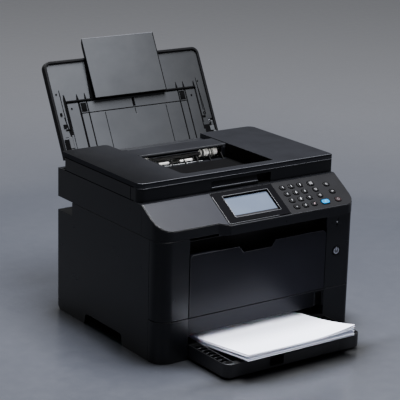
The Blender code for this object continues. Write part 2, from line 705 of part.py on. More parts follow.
def document_pad():
    return box("document_pad", (-0.180, 0.180), (0.070, 0.285), (0.2496, 0.2534), PAD)


def support_point(up, out):
    """A point of the support's plane as (y, z) of the machine."""
    foot_y, foot_z = SUPPORT_FOOT
    return (foot_y + up * math.sin(SUPPORT_LEAN) - out * math.cos(SUPPORT_LEAN),
            foot_z + up * math.cos(SUPPORT_LEAN) + out * math.sin(SUPPORT_LEAN))


def support_bracket():
    """Two arms on one bar behind the lid; they carry the lid's pins and the support's."""
    up, out = SUPPORT_PIVOT
    profile = [(0.2945, 0.2575), (0.3500, 0.2575), support_point(-0.001, -0.008)]
    for step in range(7):
        angle = math.pi * step / 6
        profile.append(support_point(up + 0.004 * math.sin(angle),
                                     out - 0.004 * math.cos(angle)))
    profile += [support_point(0.003, 0), (0.3440, 0.2675), (0.2945, 0.2675)]
    bar = box("support_bracket", (ARM_SPANS[0][0], ARM_SPANS[1][1]), (0.2929, 0.2958),
              (0.2575, 0.2675), GREY)
    pivot_y, pivot_z = support_point(up, out)
    for number, span in enumerate(ARM_SPANS):
        join(bar, prism("arm_%d" % number, profile, span, "X"))
        cut(bar, disc("arm_bore_%d" % number, (sum(span) / 2, *LID_AXIS), 0.0023, 0.03, "X",
                      sides=12))
        low = span[0] - 0.0035
        high = span[1] + (0.0035 if number == 0 else 0.0003)
        join(bar, disc("arm_pin_%d" % number, ((low + high) / 2, pivot_y, pivot_z), 0.0017,
                       high - low, "X", sides=12))
    return bar


def slit(x, width, low, high):
    """Outline of a groove that ends in a point at its top."""
    half = width / 2
    return [(x - half, low), (x + half, low), (x + half, high - 0.010), (x + half * 0.2, high),
            (x - half * 0.2, high), (x - half, high - 0.010)]


def paper_support():
    """Leaning back plate with a raised rim, a front deck, grooves and notches for its arms."""
    left, right = SUPPORT_SPAN
    face = rounded([(left, SUPPORT_LOW, 0), (right, SUPPORT_LOW, 0), (right, SUPPORT_HIGH, 0.013),
                    (left, SUPPORT_HIGH, 0.013)])
    plate = prism("paper_support", face, (-SUPPORT_THICK, 0.0025), "Z", GREY, SUPPORT)
    inner = rounded([(left + 0.003, BELOW, 0), (right - 0.003, BELOW, 0),
                     (right - 0.003, SUPPORT_HIGH - 0.003, 0.010),
                     (left + 0.003, SUPPORT_HIGH - 0.003, 0.010)])
    cut(plate, prism("support_face", inner, (0, 0.02), "Z", frame=SUPPORT))
    join(plate, box("support_deck", (-0.1355, 0.1355), (SUPPORT_LOW, DECK_TOP), (-0.002, 0.0015),
                    frame=SUPPORT))
    tall = [slit(-0.1124, 0.0040, BELOW, 0.0985), slit(-0.0964, 0.0026, BELOW, 0.0995),
            slit(0.0965, 0.0026, BELOW, 0.0970), slit(0.1119, 0.0026, BELOW, 0.0970),
            slit(-0.1371, 0.0030, 0.0420, 0.0990), slit(0.1343, 0.0030, 0.0060, 0.0980),
            slit(-0.1448, 0.0014, 0.0420, 0.1100), slit(0.1420, 0.0014, 0.0420, 0.1060)]
    cut(plate, prism("tall_grooves", tall, (-0.0055, 0.02), "Z", frame=SUPPORT))
    cut(plate, box("deck_slot", (-0.1360, 0.1360), (DECK_TOP, 0.0874), (-0.0050, 0.02),
                   frame=SUPPORT))
    cut(plate, box("deck_line", (-0.1110, 0.1110), (0.0622, 0.0640), (-0.0030, 0.02),
                   frame=SUPPORT))
    low = [rectangle((-0.0648, -0.0634), (BELOW, 0.0605)),
           rectangle((0.0634, 0.0648), (BELOW, 0.0605)),
           rectangle((-0.0024, -0.0010), (0.0510, 0.0610)),
           rectangle((-0.0045, 0.0008), (0.0650, 0.0810)),
           rectangle((-0.1096, -0.0985), (0.0650, 0.0815)), rectangle((0.0985, 0.1096), (0.0650, 0.0815))]
    cut(plate, prism("deck_marks", low, (-0.0030, 0.02), "Z", frame=SUPPORT))
    up, out = SUPPORT_PIVOT
    for number, (span, notch) in enumerate(zip(ARM_SPANS, ((-0.1530, -0.1392), (0.1480, 0.1700)))):
        cut(plate, box("arm_notch_%d" % number, notch, (BELOW, 0.0246), (-0.02, 0.02),
                       frame=SUPPORT))
        cut(plate, disc("pivot_hole_%d" % number, (sum(span) / 2, up, out), 0.0019, 0.022, "X",
                        frame=SUPPORT, sides=12))
    pivot_y, pivot_z = support_point(up, out)
    return hang("support_axis", (0, pivot_y, pivot_z), [plate])


def support_extension():
    """Shallow tray that slides up and down the front of the support."""
    side = [(0.0862, 0.0028), (0.0862, 0.0095), (0.1948, 0.0095), (0.1944, 0.0080),
            (0.1880, 0.0042), (0.1800, 0.0028)]
    left = -0.0806
    right = 0.0684
    tray = prism("support_extension", side, (left, right), "X", GREY, SUPPORT)
    cut(tray, box("extension_hollow", (left + 0.002, right - 0.002), (0.0700, 0.1925),
                  (-0.01, 0.0075), frame=SUPPORT))
    return tray


def build():
    box("base_plate", (-0.1826, 0.1826), (0.0320, 0.3000), (0.0008, 0.0018), STEEL)
    side_cover("left_side_cover", -1)
    side_cover("right_side_cover", 1)
    rear_cover()
    front_corners()
    lower_fascia()
    bay_liner()
    inner_frame()
    print_engine()
    electronics()
    cooling_fan()
    scanner_housing()
    scan_parts()
    control_panel()
    panel_plates()
    keys()
    power_button()
    front_door()
    cassette()
    paper_stack()
    cassette_guides()
    shaft_roller("pickup_roller", (0.055, 0.066), 0.003, (-0.060, 0.060),
                 [(-0.018, 0.018, 0.012)], RUBBER)
    lid = [lid_base(), lid_top_cover(), document_pad(), support_bracket()]
    hang("lid_axis", (0, *LID_AXIS), lid)
    shaft_roller("feed_roller", (0.2245, 0.2690), 0.0025, (-0.0860, 0.0700),
                 [(-0.084, -0.073, 0.0065), (0.0345, 0.056, 0.0065), (0.057, 0.0685, 0.0060)],
                 RUBBER)
    paper_support()
    support_extension()


def centre_footprint():
    """Move the machine so that the middle of its bounding box stands over the origin."""
    graph = bpy.context.evaluated_depsgraph_get()
    depths = []
    for part in PARTS.objects:
        if part.type == "MESH":
            seen = part.evaluated_get(graph)
            depths += [(seen.matrix_world @ vertex.co).y for vertex in seen.data.vertices]
    MACHINE.location.y = -(min(depths) + max(depths)) / 2


build()
centre_footprint()
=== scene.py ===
"""Looks of the laser fax machine: materials, edges, small details, paper, floor, lights, camera.

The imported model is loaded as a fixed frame. Lengths are metres. Machine coordinates count y from
the case's front face; MACHINE, PANEL and SUPPORT place shapes drawn in the machine's, the sloping
panel's and the leaning support's own coordinates.
"""

import contextlib
import json
import random
from math import cos, pi, radians, sin

import bmesh
import bpy
from mathutils import Matrix, Vector

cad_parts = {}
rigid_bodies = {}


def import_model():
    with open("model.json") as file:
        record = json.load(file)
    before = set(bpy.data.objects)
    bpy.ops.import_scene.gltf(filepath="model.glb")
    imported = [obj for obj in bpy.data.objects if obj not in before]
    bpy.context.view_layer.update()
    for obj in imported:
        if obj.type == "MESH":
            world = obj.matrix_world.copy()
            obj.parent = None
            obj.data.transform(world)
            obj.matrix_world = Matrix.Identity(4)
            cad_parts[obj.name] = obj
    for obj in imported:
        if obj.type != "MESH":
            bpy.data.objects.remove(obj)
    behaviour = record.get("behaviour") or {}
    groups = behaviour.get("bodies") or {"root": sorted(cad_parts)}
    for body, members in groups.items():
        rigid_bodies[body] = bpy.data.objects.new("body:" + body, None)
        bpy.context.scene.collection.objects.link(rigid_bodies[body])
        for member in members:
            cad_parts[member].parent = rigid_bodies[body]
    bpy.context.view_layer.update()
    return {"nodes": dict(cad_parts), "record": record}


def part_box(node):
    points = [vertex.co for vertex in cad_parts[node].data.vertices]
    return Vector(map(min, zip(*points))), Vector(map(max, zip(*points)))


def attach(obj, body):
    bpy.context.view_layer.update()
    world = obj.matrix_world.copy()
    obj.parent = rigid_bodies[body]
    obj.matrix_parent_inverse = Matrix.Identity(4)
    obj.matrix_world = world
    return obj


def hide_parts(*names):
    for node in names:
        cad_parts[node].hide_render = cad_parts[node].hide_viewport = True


for leftover in list(bpy.data.objects):
    bpy.data.objects.remove(leftover, do_unlink=True)

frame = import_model()
NODES = frame["nodes"]

FRONT_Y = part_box("left_front_column")[0].y
MACHINE = Matrix.Translation((0, FRONT_Y, 0))
PANEL_RISE = 0.219
PANEL_SLOPE = radians(31.96)
PANEL = MACHINE @ Matrix.Translation((0, 0, PANEL_RISE)) @ Matrix.Rotation(PANEL_SLOPE, 4, "X")
SUPPORT_FOOT = (0.3493, 0.2678)
SUPPORT_LEAN = radians(27.3)
SUPPORT = (MACHINE @ Matrix.Translation((0, *SUPPORT_FOOT))
           @ Matrix.Rotation(pi / 2 - SUPPORT_LEAN, 4, "X"))
SEED = 7


def arrange(thing, **settings):
    """Set attributes of a thing and hand it back."""
    for key, value in settings.items():
        setattr(thing, key, value)
    return thing


# ---------------------------------------------------------------- materials

LOOKS = {}


class Nodes:
    """A new look, kept in LOOKS: a Principled BSDF, and short calls that add nodes to it."""

    def __init__(self, name):
        self.material = LOOKS[name] = bpy.data.materials.new("looks_" + name)
        self.material.use_nodes = True
        self.tree = self.material.node_tree
        self.place = self.add("TexCoord").outputs["Object"]

    def fill(self, node, values):
        """Give inputs their values: a socket is linked, a constant is set."""
        for key, value in values.items():
            if isinstance(value, bpy.types.NodeSocket):
                self.tree.links.new(value, node.inputs[key])
            else:
                node.inputs[key].default_value = value

    def add(self, kind, values={}, **settings):
        node = arrange(self.tree.nodes.new("ShaderNode" + kind), **settings)
        self.fill(node, values)
        return node

    def shader(self, **values):
        """Fill the shader's own inputs, with _ for a space in their names."""
        values = {key.replace("_", " "): value for key, value in values.items()}
        self.fill(self.tree.nodes["Principled BSDF"], values)

    def stretched(self, *scale):
        return self.add("Mapping", {"Vector": self.place, "Scale": scale}).outputs["Vector"]

    def noise(self, scale, detail=3.0, roughness=0.55, vector=None):
        return self.add("TexNoise", {"Vector": vector or self.place, "Scale": scale,
                                     "Detail": detail, "Roughness": roughness}).outputs["Fac"]

    def spread(self, source, low_in=0.3, high_in=0.7, low_out=0.0, high_out=1.0):
        """Map one range of values to another; the input range suits a noise."""
        return self.add("MapRange", {"Value": source, "From Min": low_in, "From Max": high_in,
                                     "To Min": low_out, "To Max": high_out}).outputs["Result"]

    def math(self, operation, first, second):
        return self.add("Math", {0: first, 1: second}, operation=operation).outputs[0]

    def blend(self, factor, first, second):
        """Mix two colours by a factor; each may be a tuple or a socket."""
        first, second = ((*colour, 1) if isinstance(colour, tuple) else colour
                         for colour in (first, second))
        return self.add("Mix", {"Factor": factor, 6: first, 7: second},
                        data_type="RGBA").outputs[2]

    def bump(self, height, strength, distance, **under):
        return self.add("Bump", {"Height": height, "Strength": strength, "Distance": distance,
                                 **under}).outputs["Normal"]

    def along(self, axis, vector=None):
        """One coordinate of a vector, or of the place."""
        return self.add("SeparateXYZ", {0: vector or self.place}).outputs[axis]

    def normal(self):
        return self.add("NewGeometry").outputs["Normal"]

    def edges(self, radius):
        """1 on sharp edges, 0 on flat faces."""
        soft = self.add("Bevel", {"Radius": radius}, samples=3).outputs["Normal"]
        turn = self.add("VectorMath", {0: soft, 1: self.normal()}, operation="DOT_PRODUCT")
        return self.spread(turn.outputs["Value"], 0.99, 0.86)

    def facing_up(self):
        return self.spread(self.along("Z", self.normal()), 0.6, 1.0)

    def shut_in(self, reach, shut, clear):
        """1 where things closer than reach hide the sky, 0 in the open."""
        sky = self.add("AmbientOcclusion", {"Distance": reach}, samples=8)
        return self.spread(sky.outputs["AO"], shut, clear, 1.0, 0.0)


def shade(colour, factor):
    return tuple(min(1.0, channel * factor) for channel in colour)


def plastic(name, colour, roughness, grain=0.1, wear_and_highlight=0.35, dust=0.03, specular=0.5, painted_shade_x=None,
            sides=None):
    """Moulded plastic: spark-eroded grain, uneven gloss, edges lighter as worn plastic and as
    painted highlight, and a trace of dust.

    The x shade, given as (x from, x to, share of the colour at x to), is painted shade that darkens
    the part along x, and sides is the colour of its upright faces, painted lighter for the light
    they catch.
    """
    n = Nodes(name)
    base = n.blend(n.spread(n.noise(7, 5, 0.6)), shade(colour, 0.86), shade(colour, 1.16))
    # Lighter edges: partly worn plastic, partly painted highlight where edges catch the light
    rubbed_and_highlit = n.math("MULTIPLY", n.edges(0.0012), n.spread(n.noise(160, 4), 0.35, 0.7, 0.0, wear_and_highlight))
    base = n.blend(rubbed_and_highlit, base, tuple(channel * 1.5 + 0.03 for channel in colour))
    # Painted shade: the colour darkens along x where the part gets less light
    if painted_shade_x:
        start, end, share = painted_shade_x
        base = n.blend(n.spread(n.along("X"), start, end), base, shade(colour, share))
    # Painted light: upright faces take a lighter colour for the light that falls on them
    if sides:
        base = n.blend(n.facing_up(), sides, base)
    specks = n.spread(n.noise(900, 2, 0.7), 0.66, 0.8, 0.0, dust)
    film = n.spread(n.noise(14, 4, 0.65), 0.35, 0.75, 0.0, dust)
    settled = n.math("MULTIPLY", n.math("ADD", specks, film), n.facing_up())
    smears = n.noise(26, 5, 0.7, n.stretched(1.0, 0.6, 1.4))
    broad = n.bump(n.noise(60, 2), 0.03, 0.0004)
    n.shader(Base_Color=n.blend(settled, base, (0.3, 0.3, 0.31)),
             Roughness=n.spread(smears, 0.3, 0.7, roughness - 0.03, roughness + 0.04),
             Normal=n.bump(n.noise(1700, 3, 0.6), grain, 0.00012, Normal=broad),
             Specular_IOR_Level=specular)


def brushed_steel(name):
    n = Nodes(name)
    lines = n.noise(40, 4, 0.6, n.stretched(1.0, 30.0, 30.0))
    stains = n.spread(n.noise(12, 4, 0.6), 0.35, 0.7)
    n.shader(Base_Color=n.blend(stains, (0.5, 0.51, 0.53), (0.6, 0.61, 0.62)), Metallic=1.0,
             Roughness=n.spread(lines, 0.3, 0.7, 0.24, 0.42), Normal=n.bump(lines, 0.12, 0.0001))


def rubber(name, colour):
    n = Nodes(name)
    worn = n.spread(n.noise(90, 4, 0.6))
    grooves = n.noise(500, 2, 0.5, n.stretched(1.0, 4.0, 4.0))
    n.shader(Base_Color=n.blend(worn, shade(colour, 0.75), shade(colour, 1.2)),
             Roughness=n.spread(worn, 0.0, 1.0, 0.62, 0.82), Normal=n.bump(grooves, 0.3, 0.0002))


def circuit_board(name):
    n = Nodes(name)
    cells = n.add("TexVoronoi", {"Vector": n.place, "Scale": 160}, feature="DISTANCE_TO_EDGE")
    tracks = n.spread(cells.outputs["Distance"], 0.02, 0.08, 1.0, 0.0)
    n.shader(Base_Color=n.blend(tracks, (0.01, 0.11, 0.045), (0.03, 0.23, 0.11)),
             Roughness=n.spread(n.noise(70), 0.3, 0.7, 0.3, 0.5),
             Normal=n.bump(tracks, 0.2, 0.0001))


def paper(name, tint):
    """Office paper: faint fibres, a slight cloud, a soft matt surface."""
    n = Nodes(name)
    fibres = n.noise(900, 5, 0.7, n.stretched(1.0, 0.35, 1.0))
    base = n.blend(n.spread(n.noise(11, 4, 0.6)), shade(tint, 0.975), shade(tint, 1.0))
    n.shader(Base_Color=n.blend(n.spread(fibres, 0.35, 0.75, 0.0, 0.05), base, shade(tint, 0.8)),
             Roughness=n.spread(fibres, 0.3, 0.7, 0.72, 0.86),
             Normal=n.bump(fibres, 0.12, 0.00008), Specular_IOR_Level=0.3,
             Subsurface_Weight=0.05, Subsurface_Scale=0.001)


def glass(name, colour, roughness, specular=0.6):
    """Dark backed glass with a wiped film on it."""
    n = Nodes(name)
    wipes = n.noise(18, 5, 0.7, n.stretched(0.7, 2.2, 1.0))
    n.shader(Base_Color=n.blend(n.spread(wipes, 0.4, 0.7, 0.0, 0.6), colour, shade(colour, 1.25)),
             Roughness=n.spread(wipes, 0.3, 0.7, roughness, roughness + 0.07),
             Normal=n.bump(n.noise(300, 2), 0.02, 0.0001), Specular_IOR_Level=specular)


def lit_display(name, colour, glow):
    """Backlit blank screen: a fine pixel grid, slightly uneven."""
    n = Nodes(name)
    grid = n.add("TexChecker", {"Vector": n.place, "Scale": 3000}).outputs["Fac"]
    cloud = n.spread(n.noise(16, 2))
    base = n.blend(cloud, shade(colour, 0.93), colour)
    base = n.blend(n.spread(grid, 0, 1, 0.0, 0.06), base, shade(colour, 0.6))
    n.shader(Base_Color=base, Emission_Color=base, Emission_Strength=glow,
             Roughness=n.spread(cloud, 0, 1, 0.16, 0.24), Specular_IOR_Level=0.3,
             Normal=n.bump(n.noise(800, 2), 0.02, 0.00005))


def lit_key(name, colour, glow):
    n = Nodes(name)
    cloud = n.spread(n.noise(220, 3))
    base = n.blend(cloud, shade(colour, 0.8), shade(colour, 1.15))
    n.shader(Base_Color=base, Emission_Color=base, Emission_Strength=glow,
             Roughness=n.spread(cloud, 0, 1, 0.22, 0.34), Specular_IOR_Level=0.12,
             Normal=n.bump(n.noise(1500, 2), 0.06, 0.0001))


def print_ink(name, colour):
    """Pad-printed mark: slightly uneven cover."""
    n = Nodes(name)
    cover = n.spread(n.noise(1400, 3))
    n.shader(Base_Color=n.blend(cover, shade(colour, 0.82), colour),
             Roughness=n.spread(cover, 0, 1, 0.45, 0.6), Normal=n.bump(cover, 0.1, 0.00005))


def plain_floor(name, near, far):
    """Studio floor, paler far from the machine, with a painted contact shadow beside the machine
    that is darkest in front.
    """
    n = Nodes(name)
    away = n.add("VectorMath", {0: n.place}, operation="LENGTH").outputs["Value"]
    tone = n.blend(n.spread(away, 0.8, 4.0), near, far)
    pale = n.blend(n.spread(n.spread(n.noise(1.5, 3)), 0.0, 1.0, 0.0, 0.04), tone, far)
    # Painted contact shadow where the machine hides the sky close by
    pale = n.blend(n.shut_in(0.045, 0.6, 0.99), pale, shade(near, 0.2))
    # Wider painted shadow on the floor in front of the machine
    ahead = n.spread(n.along("Y"), FRONT_Y - 0.08, FRONT_Y - 0.105)
    wide = n.math("MULTIPLY", ahead, n.shut_in(0.16, 0.72, 0.985))
    n.shader(Base_Color=n.blend(wide, pale, shade(near, 0.06)),
             Roughness=n.spread(n.noise(40, 4), 0.3, 0.7, 0.34, 0.42), Coat_Weight=1.0,
             Coat_IOR=2.0, Coat_Roughness=0.24)


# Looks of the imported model's slots, by slot name
plastic("case_black", (0.0036, 0.0039, 0.0053), 0.3, dust=0.01, wear_and_highlight=0.8, specular=0.21)
plastic("dark_inner", (0.0016, 0.0016, 0.0018), 0.6, wear_and_highlight=0.15, dust=0.005, specular=0.1)
# The lid darkens towards its left as painted shade, and its lighter upright faces are painted light
plastic("lid_charcoal", (0.0075, 0.0078, 0.0093), 0.48, dust=0.004, wear_and_highlight=0.8, specular=0.014,
        painted_shade_x=(-0.07, -0.19, 0.28), sides=(0.02, 0.021, 0.025))
plastic("panel_grey", (0.0094, 0.01, 0.014), 0.4, grain=0.05, wear_and_highlight=0.4, dust=0.005, specular=0.08)
plastic("keypad_charcoal", (0.0055, 0.0055, 0.0065), 0.46, grain=0.14, dust=0.004, specular=0.06)
plastic("key_black", (0.0028, 0.0028, 0.0033), 0.34, grain=0.05, dust=0.0, wear_and_highlight=0.1, specular=0.08)
lit_key("key_blue", (0.0003, 0.15, 0.34), 0.24)
plastic("key_red", (0.012, 0.007, 0.008), 0.34, grain=0.05, dust=0.0, specular=0.08)
# The support darkens towards its right as painted shade, for light that falls brighter on its left
plastic("support_grey", (0.037, 0.0393, 0.0444), 0.44, grain=0.08, wear_and_highlight=0.2, dust=0.01,
        specular=0.3, painted_shade_x=(-0.13, 0.165, 0.25))
plastic("bracket_grey", (0.022, 0.023, 0.025), 0.42, grain=0.08, specular=0.08)
brushed_steel("steel")
circuit_board("board_green")
rubber("roller_rubber", (0.03, 0.03, 0.032))
glass("clear_glass", (0.045, 0.058, 0.06), 0.04)
glass("display", (0.0035, 0.0036, 0.0045), 0.18, 0.05)
paper("paper", (0.85, 0.87, 1.0))
plastic("pad_white", (0.8, 0.8, 0.78), 0.7, wear_and_highlight=0.0, dust=0.01)

# Looks of the added pieces and of the nodes in FACES
lit_display("screen", (0.068, 0.086, 0.122), 0.18)
# Light grey of painted highlight lines along edges and of the light frame round the screen
plastic("rim", (0.03, 0.031, 0.036), 0.32, grain=0.03, wear_and_highlight=0.1)
# Near black of the dark trim on the support, the rear grip and the button ring, and painted shade
# on the extension's sides and foot
plastic("rim_dark", (0.0026, 0.0026, 0.0032), 0.45, grain=0.06, wear_and_highlight=0.1, dust=0.0, specular=0.1)
# Near black painted shade in grooves, slots, holes, gaps, seams and hollows; also the support's
# dark screw heads
plastic("slot_dark", (0.0012, 0.0012, 0.0014), 0.9, wear_and_highlight=0.0, dust=0.0, specular=0.03)
plastic("bezel_black", (0.0025, 0.0025, 0.0031), 0.42, grain=0.04, dust=0.0, wear_and_highlight=0.3,
        specular=0.008)
# Light grey of painted glints along the lid's, cassette's and extension's edges
plastic("edge_glint", (0.07, 0.072, 0.082), 0.3, grain=0.03, wear_and_highlight=0.0, dust=0.0, specular=0.25)
# Dim grey of painted highlight lines along the door, fascia, skirt and column seams and on the
# first fascia rib
plastic("door_edge", (0.016, 0.0165, 0.02), 0.3, grain=0.03, wear_and_highlight=0.0, dust=0.0, specular=0.25)
plastic("clip_grey", (0.04, 0.042, 0.046), 0.4, grain=0.05, specular=0.2)
plastic("pad_black", (0.017, 0.017, 0.0205), 0.34, wear_and_highlight=0.8, specular=0.25)
# The door is a lighter copy of the case black: painted light
plastic("door_black", (0.0062, 0.0063, 0.009), 0.32, dust=0.01, wear_and_highlight=0.8, specular=0.11)
# The fascia is lighter than the case black and darkens towards its right end: painted light, and
# painted shade where the paper's reflection stops
plastic("fascia_black", (0.0052, 0.0053, 0.0078), 0.32, dust=0.01, wear_and_highlight=0.8, specular=0.11,
        painted_shade_x=(0.06, 0.11, 0.2))
# The cassette's tops are darker and its upright faces lighter: painted shade and painted light
plastic("cassette_black", (0.0016, 0.0016, 0.002), 0.36, dust=0.004, wear_and_highlight=0.8, specular=0.26,
        sides=(0.011, 0.0112, 0.014))
plastic("screen_border", (0.013, 0.013, 0.015), 0.35, grain=0.04, dust=0.0, wear_and_highlight=0.0, specular=0.05)
plastic("start_rim", (0.001, 0.008, 0.022), 0.34, grain=0.05, dust=0.0, specular=0.08)
for ink, tone in {
        "ink_white": (0.28, 0.29, 0.31), "ink_bright": (0.55, 0.56, 0.6),
        "ink_dim": (0.15, 0.15, 0.16), "ink_rose": (0.34, 0.23, 0.25),
        "ink_faint": (0.075, 0.062, 0.066), "ink_cyan": (0.06, 0.3, 0.42),
        "symbol_grey": (0.26, 0.275, 0.34), "lens_grey": (0.036, 0.038, 0.048)}.items():
    print_ink(ink, tone)
rubber("roller_white", (0.9, 0.89, 0.84))
brushed_steel("brass")

# Looks of added pieces by the slot they belong to; any other look is named after its slot
SLOT_GROUPS = {
    "case_black": "door_edge pad_black", "dark_inner": "slot_dark", "lid_charcoal": "edge_glint",
    "panel_grey": "rim", "support_grey": "rim_dark", "bracket_grey": "clip_grey",
    "key_black": "ink_white ink_bright ink_dim ink_rose symbol_grey lens_grey",
    "key_blue": "ink_cyan start_rim", "key_red": "ink_faint", "display": "screen screen_border",
    "roller_rubber": "roller_white", "steel": "brass",
}
SLOTS = {look: slot for slot, looks in SLOT_GROUPS.items() for look in looks.split()}

# Nodes that look a little different from the rest of their slot
FACES = {"front_door": "door_black", "lower_fascia": "fascia_black", "screen_bezel": "bezel_black",
         "cassette": "cassette_black", "support_bracket": "bracket_grey",
         # The steel base plate is painted near black, as shade where its edge shows in the side
         # notch
         "base_plate": "dark_inner"}


# ---------------------------------------------------------------- edges and shading

def smooth_group():
    """Geometry nodes that shade every face smooth."""
    group = bpy.data.node_groups.new("shade_smooth", "GeometryNodeTree")
    group.interface.new_socket("Geometry", in_out="INPUT", socket_type="NodeSocketGeometry")
    group.interface.new_socket("Geometry", in_out="OUTPUT", socket_type="NodeSocketGeometry")
    start = group.nodes.new("NodeGroupInput")
    smooth = group.nodes.new("GeometryNodeSetShadeSmooth")
    end = group.nodes.new("NodeGroupOutput")
    group.links.new(start.outputs[0], smooth.inputs["Geometry"])
    group.links.new(smooth.outputs["Geometry"], end.inputs[0])
    return group


SMOOTH = smooth_group()


def soften(thing, width, steps):
    """Round a piece's edges by a width and shade it smooth, with its flat faces kept flat."""
    if width:
        arrange(thing.modifiers.new("round_edges", "BEVEL"), width=width, segments=steps,
                limit_method="ANGLE", angle_limit=radians(40), use_clamp_overlap=True,
                miter_outer="MITER_ARC")
    arrange(thing.modifiers.new("smooth", "NODES"), node_group=SMOOTH)
    arrange(thing.modifiers.new("normals", "WEIGHTED_NORMAL"), weight=80, keep_sharp=False)


# Radius of the rounded edges of CAD nodes; keys get KEY_EDGE and the rest EDGE
EDGE = 0.0005
KEY_EDGE = 0.0007
EDGE_GROUPS = {
    0.0: "main_board power_supply",
    0.0002: "panel_left_plate keypad_plate touch_screen",
    0.0003: "support_bracket screen_bezel scanner_glass",
    0.0006: "paper_support support_extension cassette",
    0.0007: "front_door panel_cover",
    0.0008: "left_side_cover right_side_cover rear_cover scanner_housing power_button",
    0.0009: "lid_base",
    0.0011: "lid_top_cover",
}
EDGES = {name: radius for radius, names in EDGE_GROUPS.items() for name in names.split()}


def dress_cad_nodes():
    slots = {material["slot"] for material in frame["record"]["materials"]}
    for name, node in NODES.items():
        slot = node.data.materials[0].name.split(".")[0]
        if slot not in slots:
            raise ValueError("%s has no known slot: %s" % (name, slot))
        for holder in node.material_slots:
            holder.link = "OBJECT"
            holder.material = LOOKS[FACES.get(name, slot)]
        node.modifiers.new("weld", "WELD").merge_threshold = 0.00002
        soften(node, KEY_EDGE if name.startswith("key_") else EDGES.get(name, EDGE), 3)


# ---------------------------------------------------------------- shape makers

def add_object(name, data):
    thing = bpy.data.objects.new(name, data)
    bpy.context.scene.collection.objects.link(thing)
    return thing


def finish_piece(name, mesh, look, body, edge=0.0, steps=2, slot=None):
    mesh.materials.clear()
    mesh.materials.append(LOOKS[look])
    thing = add_object(name, mesh)
    soften(thing, edge, steps)
    slot = slot or SLOTS.get(look, look)
    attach(thing, body)
    return thing


def drawn_mesh(name, data):
    """Mesh of a curve or a text."""
    drawn = add_object(name + "_drawn", data)
    bpy.context.view_layer.update()
    seen = drawn.evaluated_get(bpy.context.evaluated_depsgraph_get())
    mesh = bpy.data.meshes.new_from_object(seen)
    bpy.data.objects.remove(drawn)
    return mesh


@contextlib.contextmanager
def reshaped(mesh):
    shape = bmesh.new()
    shape.from_mesh(mesh)
    yield shape
    shape.to_mesh(mesh)
    shape.free()


# Turns of an outline drawn in x and y so that it is extruded along an axis
TURNS = {"X": Matrix(((0, 0, 1), (1, 0, 0), (0, 1, 0))).to_4x4(),
         "Y": Matrix(((1, 0, 0), (0, 0, -1), (0, 1, 0))).to_4x4(),
         "Z": Matrix.Identity(4)}


def plate(name, outlines, span, look, body, place=MACHINE, axis="Z", edge=0.0, steps=2,
          slot=None):
    """Flat outline extruded along an axis of a frame; further outlines are holes."""
    if not isinstance(outlines[0][0], (list, tuple)):
        outlines = [outlines]
    curve = arrange(bpy.data.curves.new(name, "CURVE"), dimensions="2D", fill_mode="BOTH",
                    extrude=abs(span[1] - span[0]) / 2, render_resolution_u=0)
    for outline in outlines:
        spline = curve.splines.new("POLY")
        spline.points.add(len(outline) - 1)
        spline.use_cyclic_u = True
        for point, (u, v) in zip(spline.points, outline):
            point.co = (u, v, 0, 1)
    mesh = drawn_mesh(name, curve)
    shift = Vector([sum(span) / 2 if letter == axis else 0 for letter in "XYZ"])
    with reshaped(mesh) as shape:
        bmesh.ops.remove_doubles(shape, verts=shape.verts, dist=1e-6)
        bmesh.ops.dissolve_limit(shape, angle_limit=0.01, verts=shape.verts, edges=shape.edges)
        bmesh.ops.transform(shape, matrix=place @ Matrix.Translation(shift) @ TURNS[axis],
                            verts=shape.verts)
        bmesh.ops.recalc_face_normals(shape, faces=shape.faces)
    finish_piece(name, mesh, look, body, edge, steps, slot)


def plates(stem, outlines, *settings, **more):
    """Numbered plates that differ in their outline only."""
    for number, outline in enumerate(outlines):
        plate("%s_%d" % (stem, number), outline, *settings, **more)


def upright(*settings, **more):
    """Plate drawn across and up the machine, extruded along its depth."""
    plate(*settings, axis="Y", **more)


def rect(u, v, radius=0.0, steps=5):
    """Outline of a rectangle, with rounded corners if it has a radius."""
    corners = [(u[1], v[0], -90), (u[1], v[1], 0), (u[0], v[1], 90), (u[0], v[0], 180)]
    if not radius:
        return [(cu, cv) for cu, cv, _ in corners]
    points = []
    for cu, cv, start in corners:
        centre_u = cu - radius if cu == u[1] else cu + radius
        centre_v = cv - radius if cv == v[1] else cv + radius
        for step in range(steps + 1):
            angle = radians(start + 90 * step / steps)
            points.append((centre_u + radius * cos(angle),
                           centre_v + radius * sin(angle)))
    return points


def circle(u, v, radius, count=24):
    return [(u + radius * cos(2 * pi * i / count),
             v + radius * sin(2 * pi * i / count)) for i in range(count)]


def turned(name, profile, place, look, body, sides, slot=None):
    """Solid of revolution about the local z axis of place; profile is (radius, height) points."""
    mesh = bpy.data.meshes.new(name)
    with reshaped(mesh) as shape:
        rings = []
        for radius, height in profile:
            angles = [2 * pi * i / sides for i in range(sides)]
            rings.append([shape.verts.new((radius * cos(a), radius * sin(a), height))
                          for a in angles])
        for low, high in zip(rings, rings[1:]):
            for i in range(sides):
                j = (i + 1) % sides
                shape.faces.new((low[i], low[j], high[j], high[i]))
        shape.faces.new(list(reversed(rings[0])))
        shape.faces.new(rings[-1])
        bmesh.ops.transform(shape, matrix=place, verts=shape.verts)
        bmesh.ops.recalc_face_normals(shape, faces=shape.faces)
    finish_piece(name, mesh, look, body, slot=slot)


def turned_at(name, profile, centre, axis, look, body, sides, slot=None):
    """Solid of revolution at a machine point, its axis along a direction of the machine."""
    spin = Vector((0, 0, 1)).rotation_difference(Vector(axis)).to_matrix().to_4x4()
    turned(name, profile, MACHINE @ Matrix.Translation(centre) @ spin, look, body, sides, slot)


